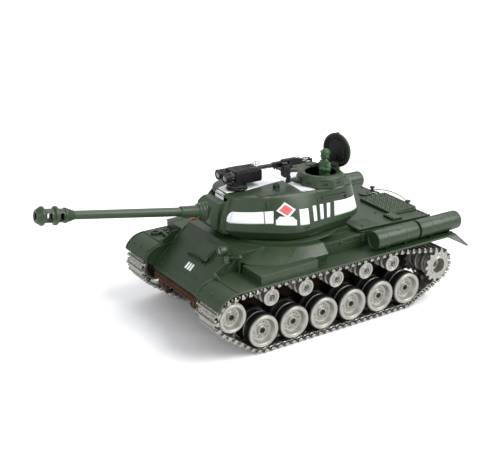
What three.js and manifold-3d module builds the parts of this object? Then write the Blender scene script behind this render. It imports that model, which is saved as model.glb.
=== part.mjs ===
// Tracked radio-controlled tank, about 1:16, with a turning turret, a raising gun,
// sprung swing arms, double road wheels, return rollers and two metal tracks.
// Millimetres. Inside the model group: +X forward, +Y to the tank's left, +Z up,
// ground at z = 0 and the first road wheel's axle at x = 0. The outer group turns
// the model so that its nose points along -Y and centres it on the origin.
import * as THREE from 'three';
import { mergeVertices } from 'three/addons/utils/BufferGeometryUtils.js';
import Module from 'manifold-3d';

const wasm = await Module();
wasm.setup();

// ---- driving dimensions ------------------------------------------------
const WHEEL_PITCH = 37.15;      // road wheel spacing
const WHEEL_COUNT = 6;          // per side
const WHEEL_Z = 24.31;          // road wheel axle height
const TYRE_R = 18.1;            // rubber tyre radius
const FACE_R = 17.1;            // metal rim radius
const FACE_Y = 92.5;            // outer rim face
const IDLER = { x: 36.0, z: 47.86, r: 15.9 };
const SPROCKET = { x: -229.05, z: 41.44, rTip: 18.7, rRoot: 15.6, rDrum: 14.6, teeth: 14 };
const ROLLER_X = [-9.6, -51.5, -90.0, -128.5, -164.5];
const ROLLER_Z = 58.3;
const ROLLER_R = 9.0;
const TRACK_IN = 54.0;          // inner edge of the track
const TRACK_OUT = 94.0;         // outer edge of the track
const TRACK_T = 5.5;            // thickness of a link with its ground bars
const GAP = 0.3;                // running gap
const ARM_L = 20.0;             // swing arm length
const ARM_PIVOT_Z = 29.0;
const TUB_Y = 50.4;             // half width of the lower hull
const FENDER_Y = 97.0;
const FENDER_Z = 75.4;          // fender top
const RING = { x: -81.0, z: 96.5, r: 52.0 };
const YAW = -3.0;               // turret heading of the rest pose
const ELEV = 8.9;               // gun elevation of the rest pose
const TRUNNION = { x: 64.0, z: 118.6 }; // ahead of the ring centre, height
const BARREL_FRONT = 205.5;     // muzzle face, ahead of the trunnion
const CENTRE_X = -40.9;         // middle of the length, put on the origin
const GROUND = 0.41;            // height of the lowest track face, put on the origin
const D = Math.PI / 180;

// ---- helpers --------------------------------------------------------------
const solid = (geometry) => {
  const g = geometry.clone();
  g.deleteAttribute('normal');
  g.deleteAttribute('uv');
  const m = mergeVertices(g, 1e-4);
  return new wasm.Manifold(new wasm.Mesh({
    numProp: 3,
    vertProperties: new Float32Array(m.attributes.position.array),
    triVerts: new Uint32Array(m.index.array),
  }));
};
const toGeometry = (manifold) => {
  const mesh = manifold.getMesh();
  const g = new THREE.BufferGeometry();
  g.setAttribute('position', new THREE.BufferAttribute(new Float32Array(mesh.vertProperties), 3));
  g.setIndex(new THREE.BufferAttribute(new Uint32Array(mesh.triVerts), 1));
  g.computeVertexNormals();
  return g;
};
const union = (...parts) => parts.reduce((a, b) => a.add(b));
const box = (x0, x1, y0, y1, z0, z1) =>
  new THREE.BoxGeometry(x1 - x0, y1 - y0, z1 - z0).translate((x0 + x1) / 2, (y0 + y1) / 2, (z0 + z1) / 2);
const boxS = (...a) => solid(box(...a));
// cylinder along Y
const cylY = (x, z, r, y0, y1, n = 16) =>
  new THREE.CylinderGeometry(r, r, y1 - y0, n).translate(x, (y0 + y1) / 2, z);
// cylinder along Z, cone when r1 is given
const cylZ = (x, y, r, z0, z1, n = 24, r1 = r) =>
  new THREE.CylinderGeometry(r1, r, z1 - z0, n).rotateX(Math.PI / 2).translate(x, y, (z0 + z1) / 2);
// cylinder along X
const cylX = (y, z, r, x0, x1, n = 16, r1 = r) =>
  new THREE.CylinderGeometry(r1, r, x1 - x0, n).rotateZ(-Math.PI / 2).translate((x0 + x1) / 2, y, z);
const shape = (pts, holes = []) => {
  const s = new THREE.Shape(pts.map(([a, b]) => new THREE.Vector2(a, b)));
  for (const h of holes) s.holes.push(new THREE.Path(h.map(([a, b]) => new THREE.Vector2(a, b))));
  return s;
};
// outline in x,z swept along y from y0 to y1
const slabY = (pts, y0, y1, holes = []) =>
  new THREE.ExtrudeGeometry(shape(pts, holes), { depth: y1 - y0, bevelEnabled: false })
    .rotateX(Math.PI / 2).translate(0, y1, 0);
// outline in x,y swept along z from z0 to z1
const slabZ = (pts, z0, z1, holes = []) =>
  new THREE.ExtrudeGeometry(shape(pts, holes), { depth: z1 - z0, bevelEnabled: false }).translate(0, 0, z0);
const circle = (cx, cz, r, n, a0 = 0) =>
  Array.from({ length: n }, (_, i) => [cx + r * Math.cos(a0 + (2 * Math.PI * i) / n), cz + r * Math.sin(a0 + (2 * Math.PI * i) / n)]);
// ring turned about the y axis through x,z; profile points are [radius, y]
const turned = (x, z, profile, n = 16) => {
  const pts = profile.map(([r, y]) => new THREE.Vector2(r, y));
  pts.push(pts[0].clone());
  return new THREE.LatheGeometry(pts, n).translate(x, 0, z);
};
// closed skin through a stack of rings of equal point count, flat ends
const loft = (rings) => {
  const n = rings[0].length;
  const pos = rings.flat(2);
  const idx = [];
  for (let k = 0; k + 1 < rings.length; k++)
    for (let i = 0; i < n; i++) {
      const j = (i + 1) % n;
      const a = k * n + i, b = k * n + j, c = (k + 1) * n + i, d = (k + 1) * n + j;
      idx.push(a, b, d, a, d, c);
    }
  const cap = (k, flip) => {
    const ring = rings[k].map(([x, y]) => new THREE.Vector2(x, y));
    for (const [a, b, c] of THREE.ShapeUtils.triangulateShape(ring, []))
      flip ? idx.push(k * n + a, k * n + c, k * n + b) : idx.push(k * n + a, k * n + b, k * n + c);
  };
  cap(0, true);
  cap(rings.length - 1, false);
  const g = new THREE.BufferGeometry();
  g.setAttribute('position', new THREE.BufferAttribute(new Float32Array(pos), 3));
  g.setIndex(idx);
  return g;
};

// ---- colours ---------------------------------------------------------------
const paint = (color, roughness, metalness = 0) => new THREE.MeshStandardMaterial({ color, roughness, metalness });
const GREEN = () => paint('#42543c', 0.55);
const BROWN = () => paint('#302016', 0.7);
const SILVER = () => paint('#bebcb6', 0.35, 0.9);
const BLACK = () => paint('#141414', 0.5);
const RUBBER = () => paint('#1b1b1b', 0.9);
const FIGURE = () => paint('#3c6441', 0.6);

const model = new THREE.Group();      // hull frame
const turret = new THREE.Group();     // turns about the ring centre
turret.position.set(RING.x, 0, 0);
turret.rotation.z = YAW * D;
const gun = new THREE.Group();        // raises about the trunnions
gun.position.set(TRUNNION.x, 0, TRUNNION.z);
gun.rotation.y = -ELEV * D;
turret.add(gun);
model.add(turret);

const put = (parent, name, geometry, material, at = [0, 0, 0]) => {
  const mesh = new THREE.Mesh(geometry, material);
  mesh.name = name;
  mesh.position.set(...at);
  parent.add(mesh);
  return mesh;
};
const body = (parent, name, manifold, material, at) => put(parent, name, toGeometry(manifold), material, at);

// ---- lower hull: open-topped tub with the fixed stub axles --------------------
const tubSide = [[17.8, 73.4], [41.7, 50.9], [22, 24.5], [-228, 24.5], [-243.5, 50], [-241, 73.4]];
const tubHole = [[14, 80], [14, 73], [38, 50.2], [20.6, 27], [-226.6, 27], [-240.8, 50.5], [-238.5, 80]];
let tub = solid(slabY(tubSide, -TUB_Y, TUB_Y)).subtract(solid(slabY(tubHole, -TUB_Y + 2.5, TUB_Y - 2.5)));
for (const s of [-1, 1]) {
  const y = (a, b) => (s > 0 ? [a, b] : [-b, -a]);
  for (const x of ROLLER_X) tub = tub.add(solid(cylY(x, ROLLER_Z, 2.2, ...y(TUB_Y - 1, 88), 8)));
  tub = tub.add(solid(cylY(IDLER.x, IDLER.z, 6, ...y(TUB_Y - 1, 55.5), 12)));
  tub = tub.add(solid(cylY(IDLER.x, IDLER.z, 3, ...y(TUB_Y - 1, 88), 8)));
  tub = tub.subtract(solid(cylY(SPROCKET.x, SPROCKET.z, 3.4, ...y(TUB_Y - 4, TUB_Y + 1), 10)));
  for (let i = 0; i < WHEEL_COUNT; i++)
    tub = tub.subtract(solid(cylY(-i * WHEEL_PITCH + ARM_L * Math.cos(Math.asin((ARM_PIVOT_Z - WHEEL_Z) / ARM_L)), ARM_PIVOT_Z, 2.4, ...y(TUB_Y - 4, TUB_Y + 1), 8)));
  // front towing hook
  tub = tub.add(boxS(30, 46.5, ...y(31, 35), 38, 47));
}
body(model, 'lower_hull', tub, BROWN());

// ---- upper hull: nose, sides, round turret seat, fenders ----------------------
const F0 = 52.5;                       // inner edge of the fenders
let top = solid(slabY([[44, 53], [42.3, 51.3], [18.3, 73.9], [-242, 73.9], [-242, 86.8], [-134.5, 91.6], [-134.5, 94.6], [0, 94.6]], -F0, F0));
const flare = (z, radius) => Array.from({ length: 36 }, (_, i) => {
  const a = (2 * Math.PI * i) / 36;
  const q = radius(Math.cos(a), Math.sin(a));
  return [RING.x + q * Math.cos(a), q * Math.sin(a), z];
});
top = top.add(solid(loft([
  flare(FENDER_Z - 1, (c, v) => Math.pow(Math.pow(c / 80, 4) + Math.pow(v / 80, 4), -0.25)),
  flare(85.4, (c, v) => Math.pow(Math.pow(c / 88, 4) + Math.pow(v / 84, 4), -0.25)),
  flare(94.6, () => 75),
])).intersect(boxS(-83.6, 2.5, -84.5, 84.5, 70, 100)));
for (const s of [-1, 1]) {
  const y = (a, b) => (s > 0 ? [a, b] : [-b, -a]);
  // side of the fighting compartment and engine bay
  top = top.add(solid(slabY([[-83.6, 74.4], [-83.6, 89.2], [-140.5, 89.6], [-140.5, 91.2], [-241.5, 86.8], [-241.5, 74.4]], ...y(40, 66.5))));
  top = top.add(solid(slabY([[-84, FENDER_Z - 0.5], [-84, 88.9], [-139.4, 88.9], [-139.4, FENDER_Z - 0.5]], ...y(60, 68))));
  // fender plate with its curved nose
  const nose = [[32.85, FENDER_Z], [41, 74], [48, 70.2], [52.5, 65.5], [54.6, 60.9]];
  const under = [[53.9, 61.2], [51.2, 65.2], [47.1, 69], [40.5, 72.6], [32.85, 73.95]];
  top = top.add(solid(slabY([...nose, ...under, [-248.7, 73.95], [-248.7, FENDER_Z]], ...y(F0 - 1.5, FENDER_Y))));
  // rear mud flap
  top = top.add(solid(slabY([[-246, FENDER_Z], [-248.7, FENDER_Z], [-268.4, 58.4], [-268.4, 56.8], [-248.9, 73.9], [-246, 73.95]], ...y(F0 + 2, FENDER_Y))));
  // stowage bin on the fender
  top = top.add(solid(slabY([[4.4, FENDER_Z - 0.5], [4.4, 84.6], [-63, 86.2], [-63, FENDER_Z - 0.5]], ...y(60, 93.5))));
}
// driver's visor block
top = top.add(solid(slabY([[18, 76.6], [20.2, 79.6], [9.2, 92.4], [6, 88.4]], -6, 18)));
// hollow inside and the round turret opening
top = top.subtract(solid(slabY([[19.6, 73], [-0.7, 92.2], [-132.5, 92.2], [-132.5, 89.2], [-239, 84.4], [-239, 73]], -48.6, 48.6)));
top = top.subtract(solid(cylZ(RING.x, 0, RING.r + 2.2, 74.6, 92.2, 32)));
top = top.subtract(solid(cylZ(RING.x, 0, RING.r + 0.9, 80, 99, 32)));
body(model, 'upper_hull', top, GREEN());

// ---- rear deck: raised air outlet with mesh, round vent -------------------------
const deckZ = (x) => 91.6 + (x + 134.5) * 0.0447;
let deck = solid(slabY([[-138, deckZ(-138) + 0.35], [-138, 93.2], [-239.5, 89.6], [-239.5, deckZ(-239.5) + 0.35]], -64.5, 64.5));
deck = deck.add(solid(slabY([[-201, 89], [-203.5, 93.2], [-237.5, 92], [-239.3, 88]], -11, 43)));
deck = deck.add(solid(cylZ(-222, -26, 8.2, 89, 92.6, 16)));
deck = deck.add(boxS(-200.8, -189, 44, 58, 90.2, 94.2));
// clears the hull's own flanks
body(model, 'engine_deck', deck, GREEN());

// ---- fuel drums ------------------------------------------------------------------
for (const [s, side] of [[1, 'left'], [-1, 'right']]) {
  const yc = 83.6 * s, zc = 86.4, r = 10.2;
  const prof = [[0, 0], [8.6, 0], [r, 0.8], [r, 56.6], [9.2, 57.4], [9.2, 58.8], [r, 59.6], [r, 114], [8.4, 117.4], [0, 117.8]];
  const g = new THREE.LatheGeometry(prof.map(([a, b]) => new THREE.Vector2(a, b)), 20)
    .rotateZ(Math.PI / 2).translate(-142.5, yc, zc);
  put(model, `fuel_drums_${side}`, g, GREEN());
}

// ---- headlamp on its bracket ---------------------------------------------------------
let lamp = solid(cylX(37.5, 94.5, 5.4, 9.5, 17.5, 16, 5.8));
lamp = lamp.add(boxS(12, 15, 36, 39, 84.2, 92));
body(model, 'headlamp', lamp, GREEN());

// ---- running gear --------------------------------------------------------------------------
const armDrop = ARM_PIVOT_Z - WHEEL_Z;
const armX = ARM_L * Math.cos(Math.asin(armDrop / ARM_L));
for (const [s, side] of [[1, 'left'], [-1, 'right']]) {
  const y = (a, b) => (s > 0 ? [a, b] : [-b, -a]);
  const mir = (p) => (s > 0 ? p : p.map(([r, v]) => [r, -v]).reverse());
  const wheelProfile = [[2.6, 60], [TYRE_R, 60], [TYRE_R, 91], [FACE_R, FACE_Y], [14, FACE_Y], [13, 88.5], [2.6, 88.5]];
  for (let i = 0; i < WHEEL_COUNT; i++) {
    const x = -i * WHEEL_PITCH;
    put(model, `road_wheel_${side}_${i + 1}`, turned(0, 0, mir(wheelProfile), 16), SILVER(), [x, 0, WHEEL_Z]);
    // swing arm: plate, pivot pin into the hull, stub axle into the wheel
    const px = x + armX;
    const plate = [];
    const ang = Math.atan2(-armDrop, -armX);
    for (let k = 0; k <= 4; k++) { const a = ang + Math.PI / 2 + (k / 4) * Math.PI; plate.push([px + 4.2 * Math.cos(a), ARM_PIVOT_Z + 4.2 * Math.sin(a)]); }
    for (let k = 0; k <= 4; k++) { const a = ang - Math.PI / 2 + (k / 4) * Math.PI; plate.push([x + 4 * Math.cos(a), WHEEL_Z + 4 * Math.sin(a)]); }
    let arm = solid(slabY(plate, ...y(TUB_Y + GAP + 0.1, 55)));
    arm = arm.add(solid(cylY(px, ARM_PIVOT_Z, 2.0, ...y(TUB_Y - 2.3, 53), 8)));
    arm = arm.add(solid(cylY(x, WHEEL_Z, 2.2, ...y(53, 88), 8)));
    body(model, `swing_arm_${side}_${i + 1}`, arm, BROWN());
  }
  const idlerProfile = [[3.4, 60], [IDLER.r, 60], [IDLER.r, 91.2], [15.2, FACE_Y], [12.6, FACE_Y], [12, 88.8], [3.4, 88.8]];
  put(model, `idler_wheel_${side}`, turned(0, 0, mir(idlerProfile), 20), SILVER(), [IDLER.x, 0, IDLER.z]);
  ROLLER_X.forEach((x, i) => {
    put(model, `return_roller_${side}_${i + 1}`, turned(0, 0, mir([[2.6, 62], [ROLLER_R, 62], [ROLLER_R, 91], [2.6, 91]]), 12), SILVER(), [x, 0, ROLLER_Z]);
  });
  // drive sprocket: two toothed rings on a drum, with its drive shaft
  const teeth = [];
  for (let k = 0; k < SPROCKET.teeth; k++) {
    const p = (2 * Math.PI) / SPROCKET.teeth;
    for (const [f, r] of [[-0.32, SPROCKET.rRoot], [-0.1, SPROCKET.rTip], [0.1, SPROCKET.rTip], [0.32, SPROCKET.rRoot]])
      teeth.push([r * Math.cos((k + f) * p), r * Math.sin((k + f) * p)]);
  }
  let spr = solid(slabY(teeth, ...y(90, 92.8)));
  spr = spr.add(solid(slabY(teeth, ...y(56.3, 59))));
  spr = spr.add(solid(cylY(0, 0, SPROCKET.rDrum, ...y(58, 91), 16)));
  spr = spr.subtract(solid(cylY(0, 0, 9.2, ...y(84, 94), 16)));
  spr = spr.add(solid(cylY(0, 0, 3.0, ...y(42, 58), 10)));
  body(model, `drive_sprocket_${side}`, spr, SILVER(), [SPROCKET.x, 0, SPROCKET.z]);
  // track: closed band around the wheels
  const rI = IDLER.r + GAP, rS = SPROCKET.rDrum + GAP + 0.2, rW = TYRE_R + GAP;
  const circles = [
    [0, WHEEL_Z, rW], [IDLER.x, IDLER.z, rI], [ROLLER_X[0], ROLLER_Z, ROLLER_R + GAP],
    [ROLLER_X[4], ROLLER_Z, ROLLER_R + GAP], [SPROCKET.x, SPROCKET.z, rS], [-(WHEEL_COUNT - 1) * WHEEL_PITCH, WHEEL_Z, rW],
  ];
  const belt = (grow, n) => {
    // tangent line of each pair of circles, anticlockwise seen from the left
    const out = [];
    const tan = circles.map(([x0, z0, r0], i) => {
      const [x1, z1, r1] = circles[(i + 1) % circles.length];
      const dx = x1 - x0, dz = z1 - z0, L = Math.hypot(dx, dz);
      return Math.atan2(dz, dx) - Math.PI / 2 + Math.asin(((r0 - r1)) / L) * 1;
    });
    circles.forEach(([x, z, r], i) => {
      let a0 = tan[(i + circles.length - 1) % circles.length], a1 = tan[i];
      while (a1 < a0) a1 += 2 * Math.PI;
      const m = Math.max(1, Math.round(((a1 - a0) / (2 * Math.PI)) * n));
      for (let k = 0; k <= m; k++) {
        const a = a0 + ((a1 - a0) * k) / m;
        out.push([x + (r + grow) * Math.cos(a), z + (r + grow) * Math.sin(a)]);
      }
    });
    return out;
  };
  let band = solid(slabY(belt(TRACK_T, 28), ...y(TRACK_IN, TRACK_OUT), [belt(0, 28).reverse()]));
  for (const [a, b] of [[89.7, TRACK_OUT + 1], [TRACK_IN - 1, 59.3]])
    band = band.subtract(solid(cylY(SPROCKET.x, SPROCKET.z, SPROCKET.rTip + 0.4, ...y(a, b), 32)));
  body(model, `track_${side}`, band, SILVER());
}

// ---- inside the hull -------------------------------------------------------------------------
for (const [s, side] of [[1, 'left'], [-1, 'right']]) {
  const y = (a, b) => (s > 0 ? [a, b] : [-b, -a]);
  let gb = solid(slabY([[-206, 29], [-206, 60], [-238, 60], [-238, 49], [-225.5, 29]], ...y(3, 41.5)));
  gb = gb.add(solid(cylX(18 * s, 40, 11, -206.5, -170, 12)));
  body(model, `gearbox_${side}`, gb, BLACK());
}
put(model, 'battery_pack', box(-60, 10, -24, 24, 28, 56), BLACK());
put(model, 'control_board', box(-160, -95, -35, 35, 29.5, 37), paint('#1f6a3a', 0.5));

// ---- turret shell ------------------------------------------------------------------------------
// half outlines from nose to tail, [x ahead of the ring centre, y to the left]
const girth = [[81, 0], [80.5, 10], [77.5, 18], [72, 24.5], [63.3, 33.5], [51.4, 42.5], [39.4, 51], [27.6, 58], [12.5, 62.4], [-9.5, 60], [-30, 56.5], [-45.4, 54], [-60, 50], [-70, 44], [-76, 35], [-79.5, 22], [-80.5, 0]];
const roofL = [[71.5, 0], [71, 10], [69, 20], [62, 30], [46, 39.5], [36, 41.5], [25, 43.5], [14, 45], [3, 46.4], [-11, 49.6], [-30, 53], [-44, 53], [-56, 48], [-63, 40], [-67, 29], [-69, 15], [-69.5, 0]];
const roofR = [[71.5, 0], [71, 10], [69, 20], [62, 30], [46, 38], [36, 40], [25, 41.5], [14, 42.5], [3, 43.5], [-11, 44], [-30, 43.5], [-44, 42], [-56, 39], [-63, 34], [-67, 25], [-69, 13], [-69.5, 0]];
const ringOf = (left, right, z) => [...left.map(([x, y]) => [x, y, z]), ...right.slice(1, -1).reverse().map(([x, y]) => [x, -y, z])].reverse().map(([x, y, z]) => [x, y, z]);
const mix = (a, b, t) => a.map(([x, y], i) => [x + (b[i][0] - x) * t, y + (b[i][1] - y) * t]);
const scaleAbout = (a, f, cx = 0) => a.map(([x, y]) => [cx + (x - cx) * f, y * f]);
const level = (z, t, f = 1) => {
  const L = scaleAbout(mix(girth, roofL, t), f), R = scaleAbout(mix(girth, roofR, t), f);
  return ringOf(L, R, z).reverse();
};
const roundRing = (r, z) => {
  const L = girth.map((_, i) => { const a = (Math.PI * i) / (girth.length - 1); return [r * Math.cos(a), r * Math.sin(a)]; });
  return ringOf(L, L, z).reverse();
};
const lowRing = (z, f, r) => {
  const L = girth.map(([x, y]) => { const q = Math.hypot(x, y), k = Math.min(f, r / q); return [x * k, y * k]; });
  return ringOf(L, L, z).reverse();
};
const CUP = { x: -31.5, y: 30.0, r: 25.0, z0: 142.3, z1: 154.6, opening: 16.6 };   // commander's cupola
let shell = solid(loft([lowRing(96.6, 0.93, 70), level(104.4, 0, 0.99), level(106.4, 0.01), level(118, 0.28), level(130, 0.62), level(138.5, 0.92), level(142, 1, 0.965)]));
shell = shell.subtract(solid(loft([roundRing(RING.r - 3, 96), roundRing(RING.r - 3, 100), level(104, 0.1, 0.9), level(130, 0.62, 0.9), level(139, 0.95, 0.88)])));
// front opening for the mantlet
shell = shell.subtract(boxS(61, 95, -17, 17, 101.5, 137.2));
// basket collar that turns in the hull
shell = shell.add(solid(slabZ(circle(0, 0, RING.r, 32), 88, 98, [circle(0, 0, RING.r - 3, 32).reverse()])));
// hatch opening of the cupola
shell = shell.subtract(solid(cylZ(CUP.x, CUP.y, CUP.opening, 130, 150, 20)));
body(turret, 'turret_shell', shell, GREEN());

// ---- mantlet and gun (frame: trunnion at the origin, x along the bore) ----------------------------
let mant = solid(slabY([[6, -13], [12, -16], [21, -15.5], [27.5, -8], [27.5, 6.5], [22, 12.5], [13, 14], [6, 11.5]], -15.6, 15.6));
mant = mant.add(solid(cylX(0, 0, 8.6, 26, 35, 16, 7.4)));
mant = mant.add(solid(cylY(0, 0, 3, -16.6, 16.6, 8)));
mant = mant.add(boxS(-4, 8, -6.5, 6.5, -6.5, 6.5));
mant = mant.subtract(solid(cylX(0, 0, 4.9, -8, 40, 16)));
body(gun, 'mantlet', mant, GREEN());
const bore = 2.6;
const gunProfile = [[0, 186], [bore, 186], [bore, BARREL_FRONT - 0.4], [5.8, BARREL_FRONT], [8.6, BARREL_FRONT - 5.5], [6.8, BARREL_FRONT - 7.2], [6.8, BARREL_FRONT - 16], [8.6, BARREL_FRONT - 18.4], [8.2, BARREL_FRONT - 21], [6.2, BARREL_FRONT - 26], [5.2, BARREL_FRONT - 36], [4.4, BARREL_FRONT - 38], [4.55, 60], [4.6, 8], [0, 8]];
const barrel = new THREE.LatheGeometry(gunProfile.map(([r, x]) => new THREE.Vector2(r, -x)), 18)
  .rotateZ(Math.PI / 2);
put(gun, 'gun_barrel', barrel, GREEN());

// ---- cupola with its hatch and the crew figure --------------------------------------------------------
let cup = solid(cylZ(CUP.x, CUP.y, CUP.r, CUP.z0, 151.4, 20)).add(solid(cylZ(CUP.x, CUP.y, CUP.r - 0.4, 151.2, CUP.z1, 20, 20.8)));
cup = cup.subtract(solid(cylZ(CUP.x, CUP.y, CUP.opening, 138, 160, 20)));
// notch at the back for the hatch hinge, turned with the hatch
const HATCH = { heading: 194.4, hinge: 20.0, z: 153.2, r: 18.6, rise: 4.2 };
const notch = (x0, x1, w, z0, z1) => solid(box(x0, x1, -w, w, z0, z1).rotateZ((HATCH.heading - 180) * D).translate(CUP.x, CUP.y, 0));
cup = cup.subtract(notch(-30, -18, 6.6, 150.4, 160));

// hatch lid: frame with the hinge pin at the origin, x from the pin across the lid when shut
const lidPivot = new THREE.Group();
lidPivot.position.set(CUP.x + HATCH.hinge * Math.cos(HATCH.heading * D), CUP.y + HATCH.hinge * Math.sin(HATCH.heading * D), HATCH.z);
lidPivot.rotation.z = (HATCH.heading - 180) * D;
const lidTilt = new THREE.Group();
lidTilt.rotation.y = -90 * D;                 // standing open
lidPivot.add(lidTilt);
turret.add(lidPivot);
let lid = solid(new THREE.LatheGeometry([[0, HATCH.rise + 1.2], [15.5, HATCH.rise + 1.2], [16.5, HATCH.rise], [HATCH.r, HATCH.rise], [HATCH.r, HATCH.rise + 1.6], [16, HATCH.rise + 3.2], [0, HATCH.rise + 4.2]].map(([a, b]) => new THREE.Vector2(a, b)), 24)
  .rotateX(Math.PI / 2).translate(HATCH.r, 0, 0));
lid = lid.add(boxS(-1.4, 3.5, -5, 5, 0.8, HATCH.rise + 1.2));
lid = lid.add(solid(cylY(0, 0, 1.5, -5, 5, 10)));
body(lidTilt, 'cupola_hatch', lid, GREEN());

// crew figure, a half figure standing in the opening, facing ahead
const MAN = { x: -37.0, y: 28.8 };
let man = solid(new THREE.LatheGeometry([[0, 139], [6.2, 139], [6.8, 148], [7.8, 154], [7.2, 160], [4.4, 163.4], [2.6, 164.4], [3.4, 165.6], [5.2, 168], [5.5, 170.8], [4.4, 174.2], [2.2, 175.8], [0, 176.2]].map(([a, b]) => new THREE.Vector2(a, b)), 12)
  .rotateX(Math.PI / 2).translate(MAN.x, MAN.y, 0));
man = man.add(solid(cylX(-8.2, -1.5, 2.2, -2, 13.5, 8).rotateZ(0.08).translate(MAN.x, MAN.y, 160.4)));
man = man.add(solid(cylX(8.6, 0, 2.4, -3, 5, 8).rotateY(0.5).translate(MAN.x, MAN.y, 158.6)));
man = man.add(boxS(MAN.x - 3.2, MAN.x + 2.6, MAN.y - 9.4, MAN.y + 9.8, 154, 160.6));
body(turret, 'crew_figure', man, FIGURE());

// ---- infrared battle unit on the roof ---------------------------------------------------------------------
let pod = solid(cylZ(54, 3.8, 11, 142.4, 147.4, 20));
pod = pod.add(boxS(26.5, 62.5, -12, 12, 147.2, 162.4));
for (const y of [-7.5, 7.5]) pod = pod.add(solid(cylX(y, 156.6, 5.2, 62, 69.5, 16, 4.8)));
body(turret, 'infrared_unit', pod, BLACK());

// ---- anti-aircraft machine gun ---------------------------------------------------------------------------------
// the cupola carries its bracket; the gun turns on its upright pin and tilts on the cross pin
const MGP = { x: 4.6, y: 24.2, z: 167.2, heading: -3.5 };      // pin: where the gun turns, ahead of the ring centre
const bracketA = Math.atan2(MGP.y - CUP.y, MGP.x - CUP.x), bracketR = Math.hypot(MGP.x - CUP.x, MGP.y - CUP.y);
let arm = solid(box(CUP.r - 3, bracketR + 2.6, -2.6, 2.6, 146.5, 150.5).rotateZ(bracketA).translate(CUP.x, CUP.y, 0));
arm = arm.add(solid(cylZ(MGP.x, MGP.y, 2.6, 148, MGP.z - 7, 12)));
body(turret, 'cupola', cup.add(arm), GREEN());
const mg = new THREE.Group();
mg.position.set(MGP.x, MGP.y, MGP.z);
mg.rotation.z = MGP.heading * D;
turret.add(mg);
let fork = solid(cylZ(0, 0, 2.4, -6.7, -4.2, 12));
fork = fork.add(boxS(-2, 2, -4.6, 4.6, -4.4, -3.0));
fork = fork.add(boxS(-2, 2, -4.6, -3.4, -4.2, 1.8)).add(boxS(-2, 2, 3.4, 4.6, -4.2, 1.8));
body(mg, 'gun_cradle', fork, BLACK());
let gunB = boxS(-15, 20, -2.5, 2.5, -2.4, 3.6);
gunB = gunB.add(solid(cylX(0, 0.6, 1.8, 19, 46, 10)));
gunB = gunB.add(boxS(-27, -14.5, -3.2, 3.2, -1.6, 3.2));
gunB = gunB.add(boxS(3.2, 10.6, 2.2, 10.2, -12.0, 1.4));
body(mg, 'machine_gun', gunB, BLACK());

// ---- drive that turns the turret: motor and pinion under the roof -------------------------------------------------
let slew = solid(cylZ(-121, 0, 9, 62, 86, 14)).add(solid(cylZ(-121, 0, 4.5, 85.8, 90.5, 10)));
body(model, 'turret_motor', slew, BLACK());

model.rotation.z = -Math.PI / 2;
const tank = new THREE.Group();
tank.add(model);
tank.position.set(0, CENTRE_X, -GROUND);
export default tank;
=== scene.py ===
# Looks of the radio-controlled tank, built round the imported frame.
# Shapes are written in millimetres in the tank's own axes (x ahead, y to its left, z up)
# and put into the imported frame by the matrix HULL.
import bpy, bmesh, math
from mathutils import Vector, Matrix, noise
from mathutils.bvhtree import BVHTree


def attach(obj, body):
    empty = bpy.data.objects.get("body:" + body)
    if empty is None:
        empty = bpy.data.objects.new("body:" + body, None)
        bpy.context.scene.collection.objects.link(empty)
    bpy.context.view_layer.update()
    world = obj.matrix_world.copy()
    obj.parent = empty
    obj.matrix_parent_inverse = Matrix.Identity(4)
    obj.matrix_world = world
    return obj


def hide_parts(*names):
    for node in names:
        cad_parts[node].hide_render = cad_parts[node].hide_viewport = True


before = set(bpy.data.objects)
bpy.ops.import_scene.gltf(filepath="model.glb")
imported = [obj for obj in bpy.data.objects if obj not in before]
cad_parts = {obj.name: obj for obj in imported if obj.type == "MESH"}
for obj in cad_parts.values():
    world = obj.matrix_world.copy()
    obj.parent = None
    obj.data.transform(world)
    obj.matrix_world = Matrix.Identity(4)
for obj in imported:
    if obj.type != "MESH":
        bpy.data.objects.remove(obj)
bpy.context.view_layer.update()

rad = math.radians
PI = math.pi


def T(x, y, z):
    return Matrix.Translation((x, y, z))


def R(axis, deg):
    return Matrix.Rotation(rad(deg), 4, axis)


HULL = Matrix(((0, 0.001, 0, 0), (-0.001, 0, 0, -0.0409), (0, 0, 0.001, -0.00041), (0, 0, 0, 1)))
TURRET = HULL @ T(-81, 0, 0) @ R("Z", -3)
GUN = TURRET @ T(64, 0, 118.6) @ R("Y", -8.9)
MG = TURRET @ T(4.6, 24.2, 167.2) @ R("Z", -3.5)
CUPX, CUPY = -31.5, 30.0
LID = TURRET @ T(CUPX + 20 * math.cos(rad(194.4)), CUPY + 20 * math.sin(rad(194.4)), 153.2) @ R("Z", 14.4) @ R("Y", -90)


# ---------------------------------------------------------------- materials
def lin(r, g, b):
    f = lambda c: c / 12.92 if c <= 0.04045 else ((c + 0.055) / 1.055) ** 2.4
    return (f(r / 255), f(g / 255), f(b / 255))


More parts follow.
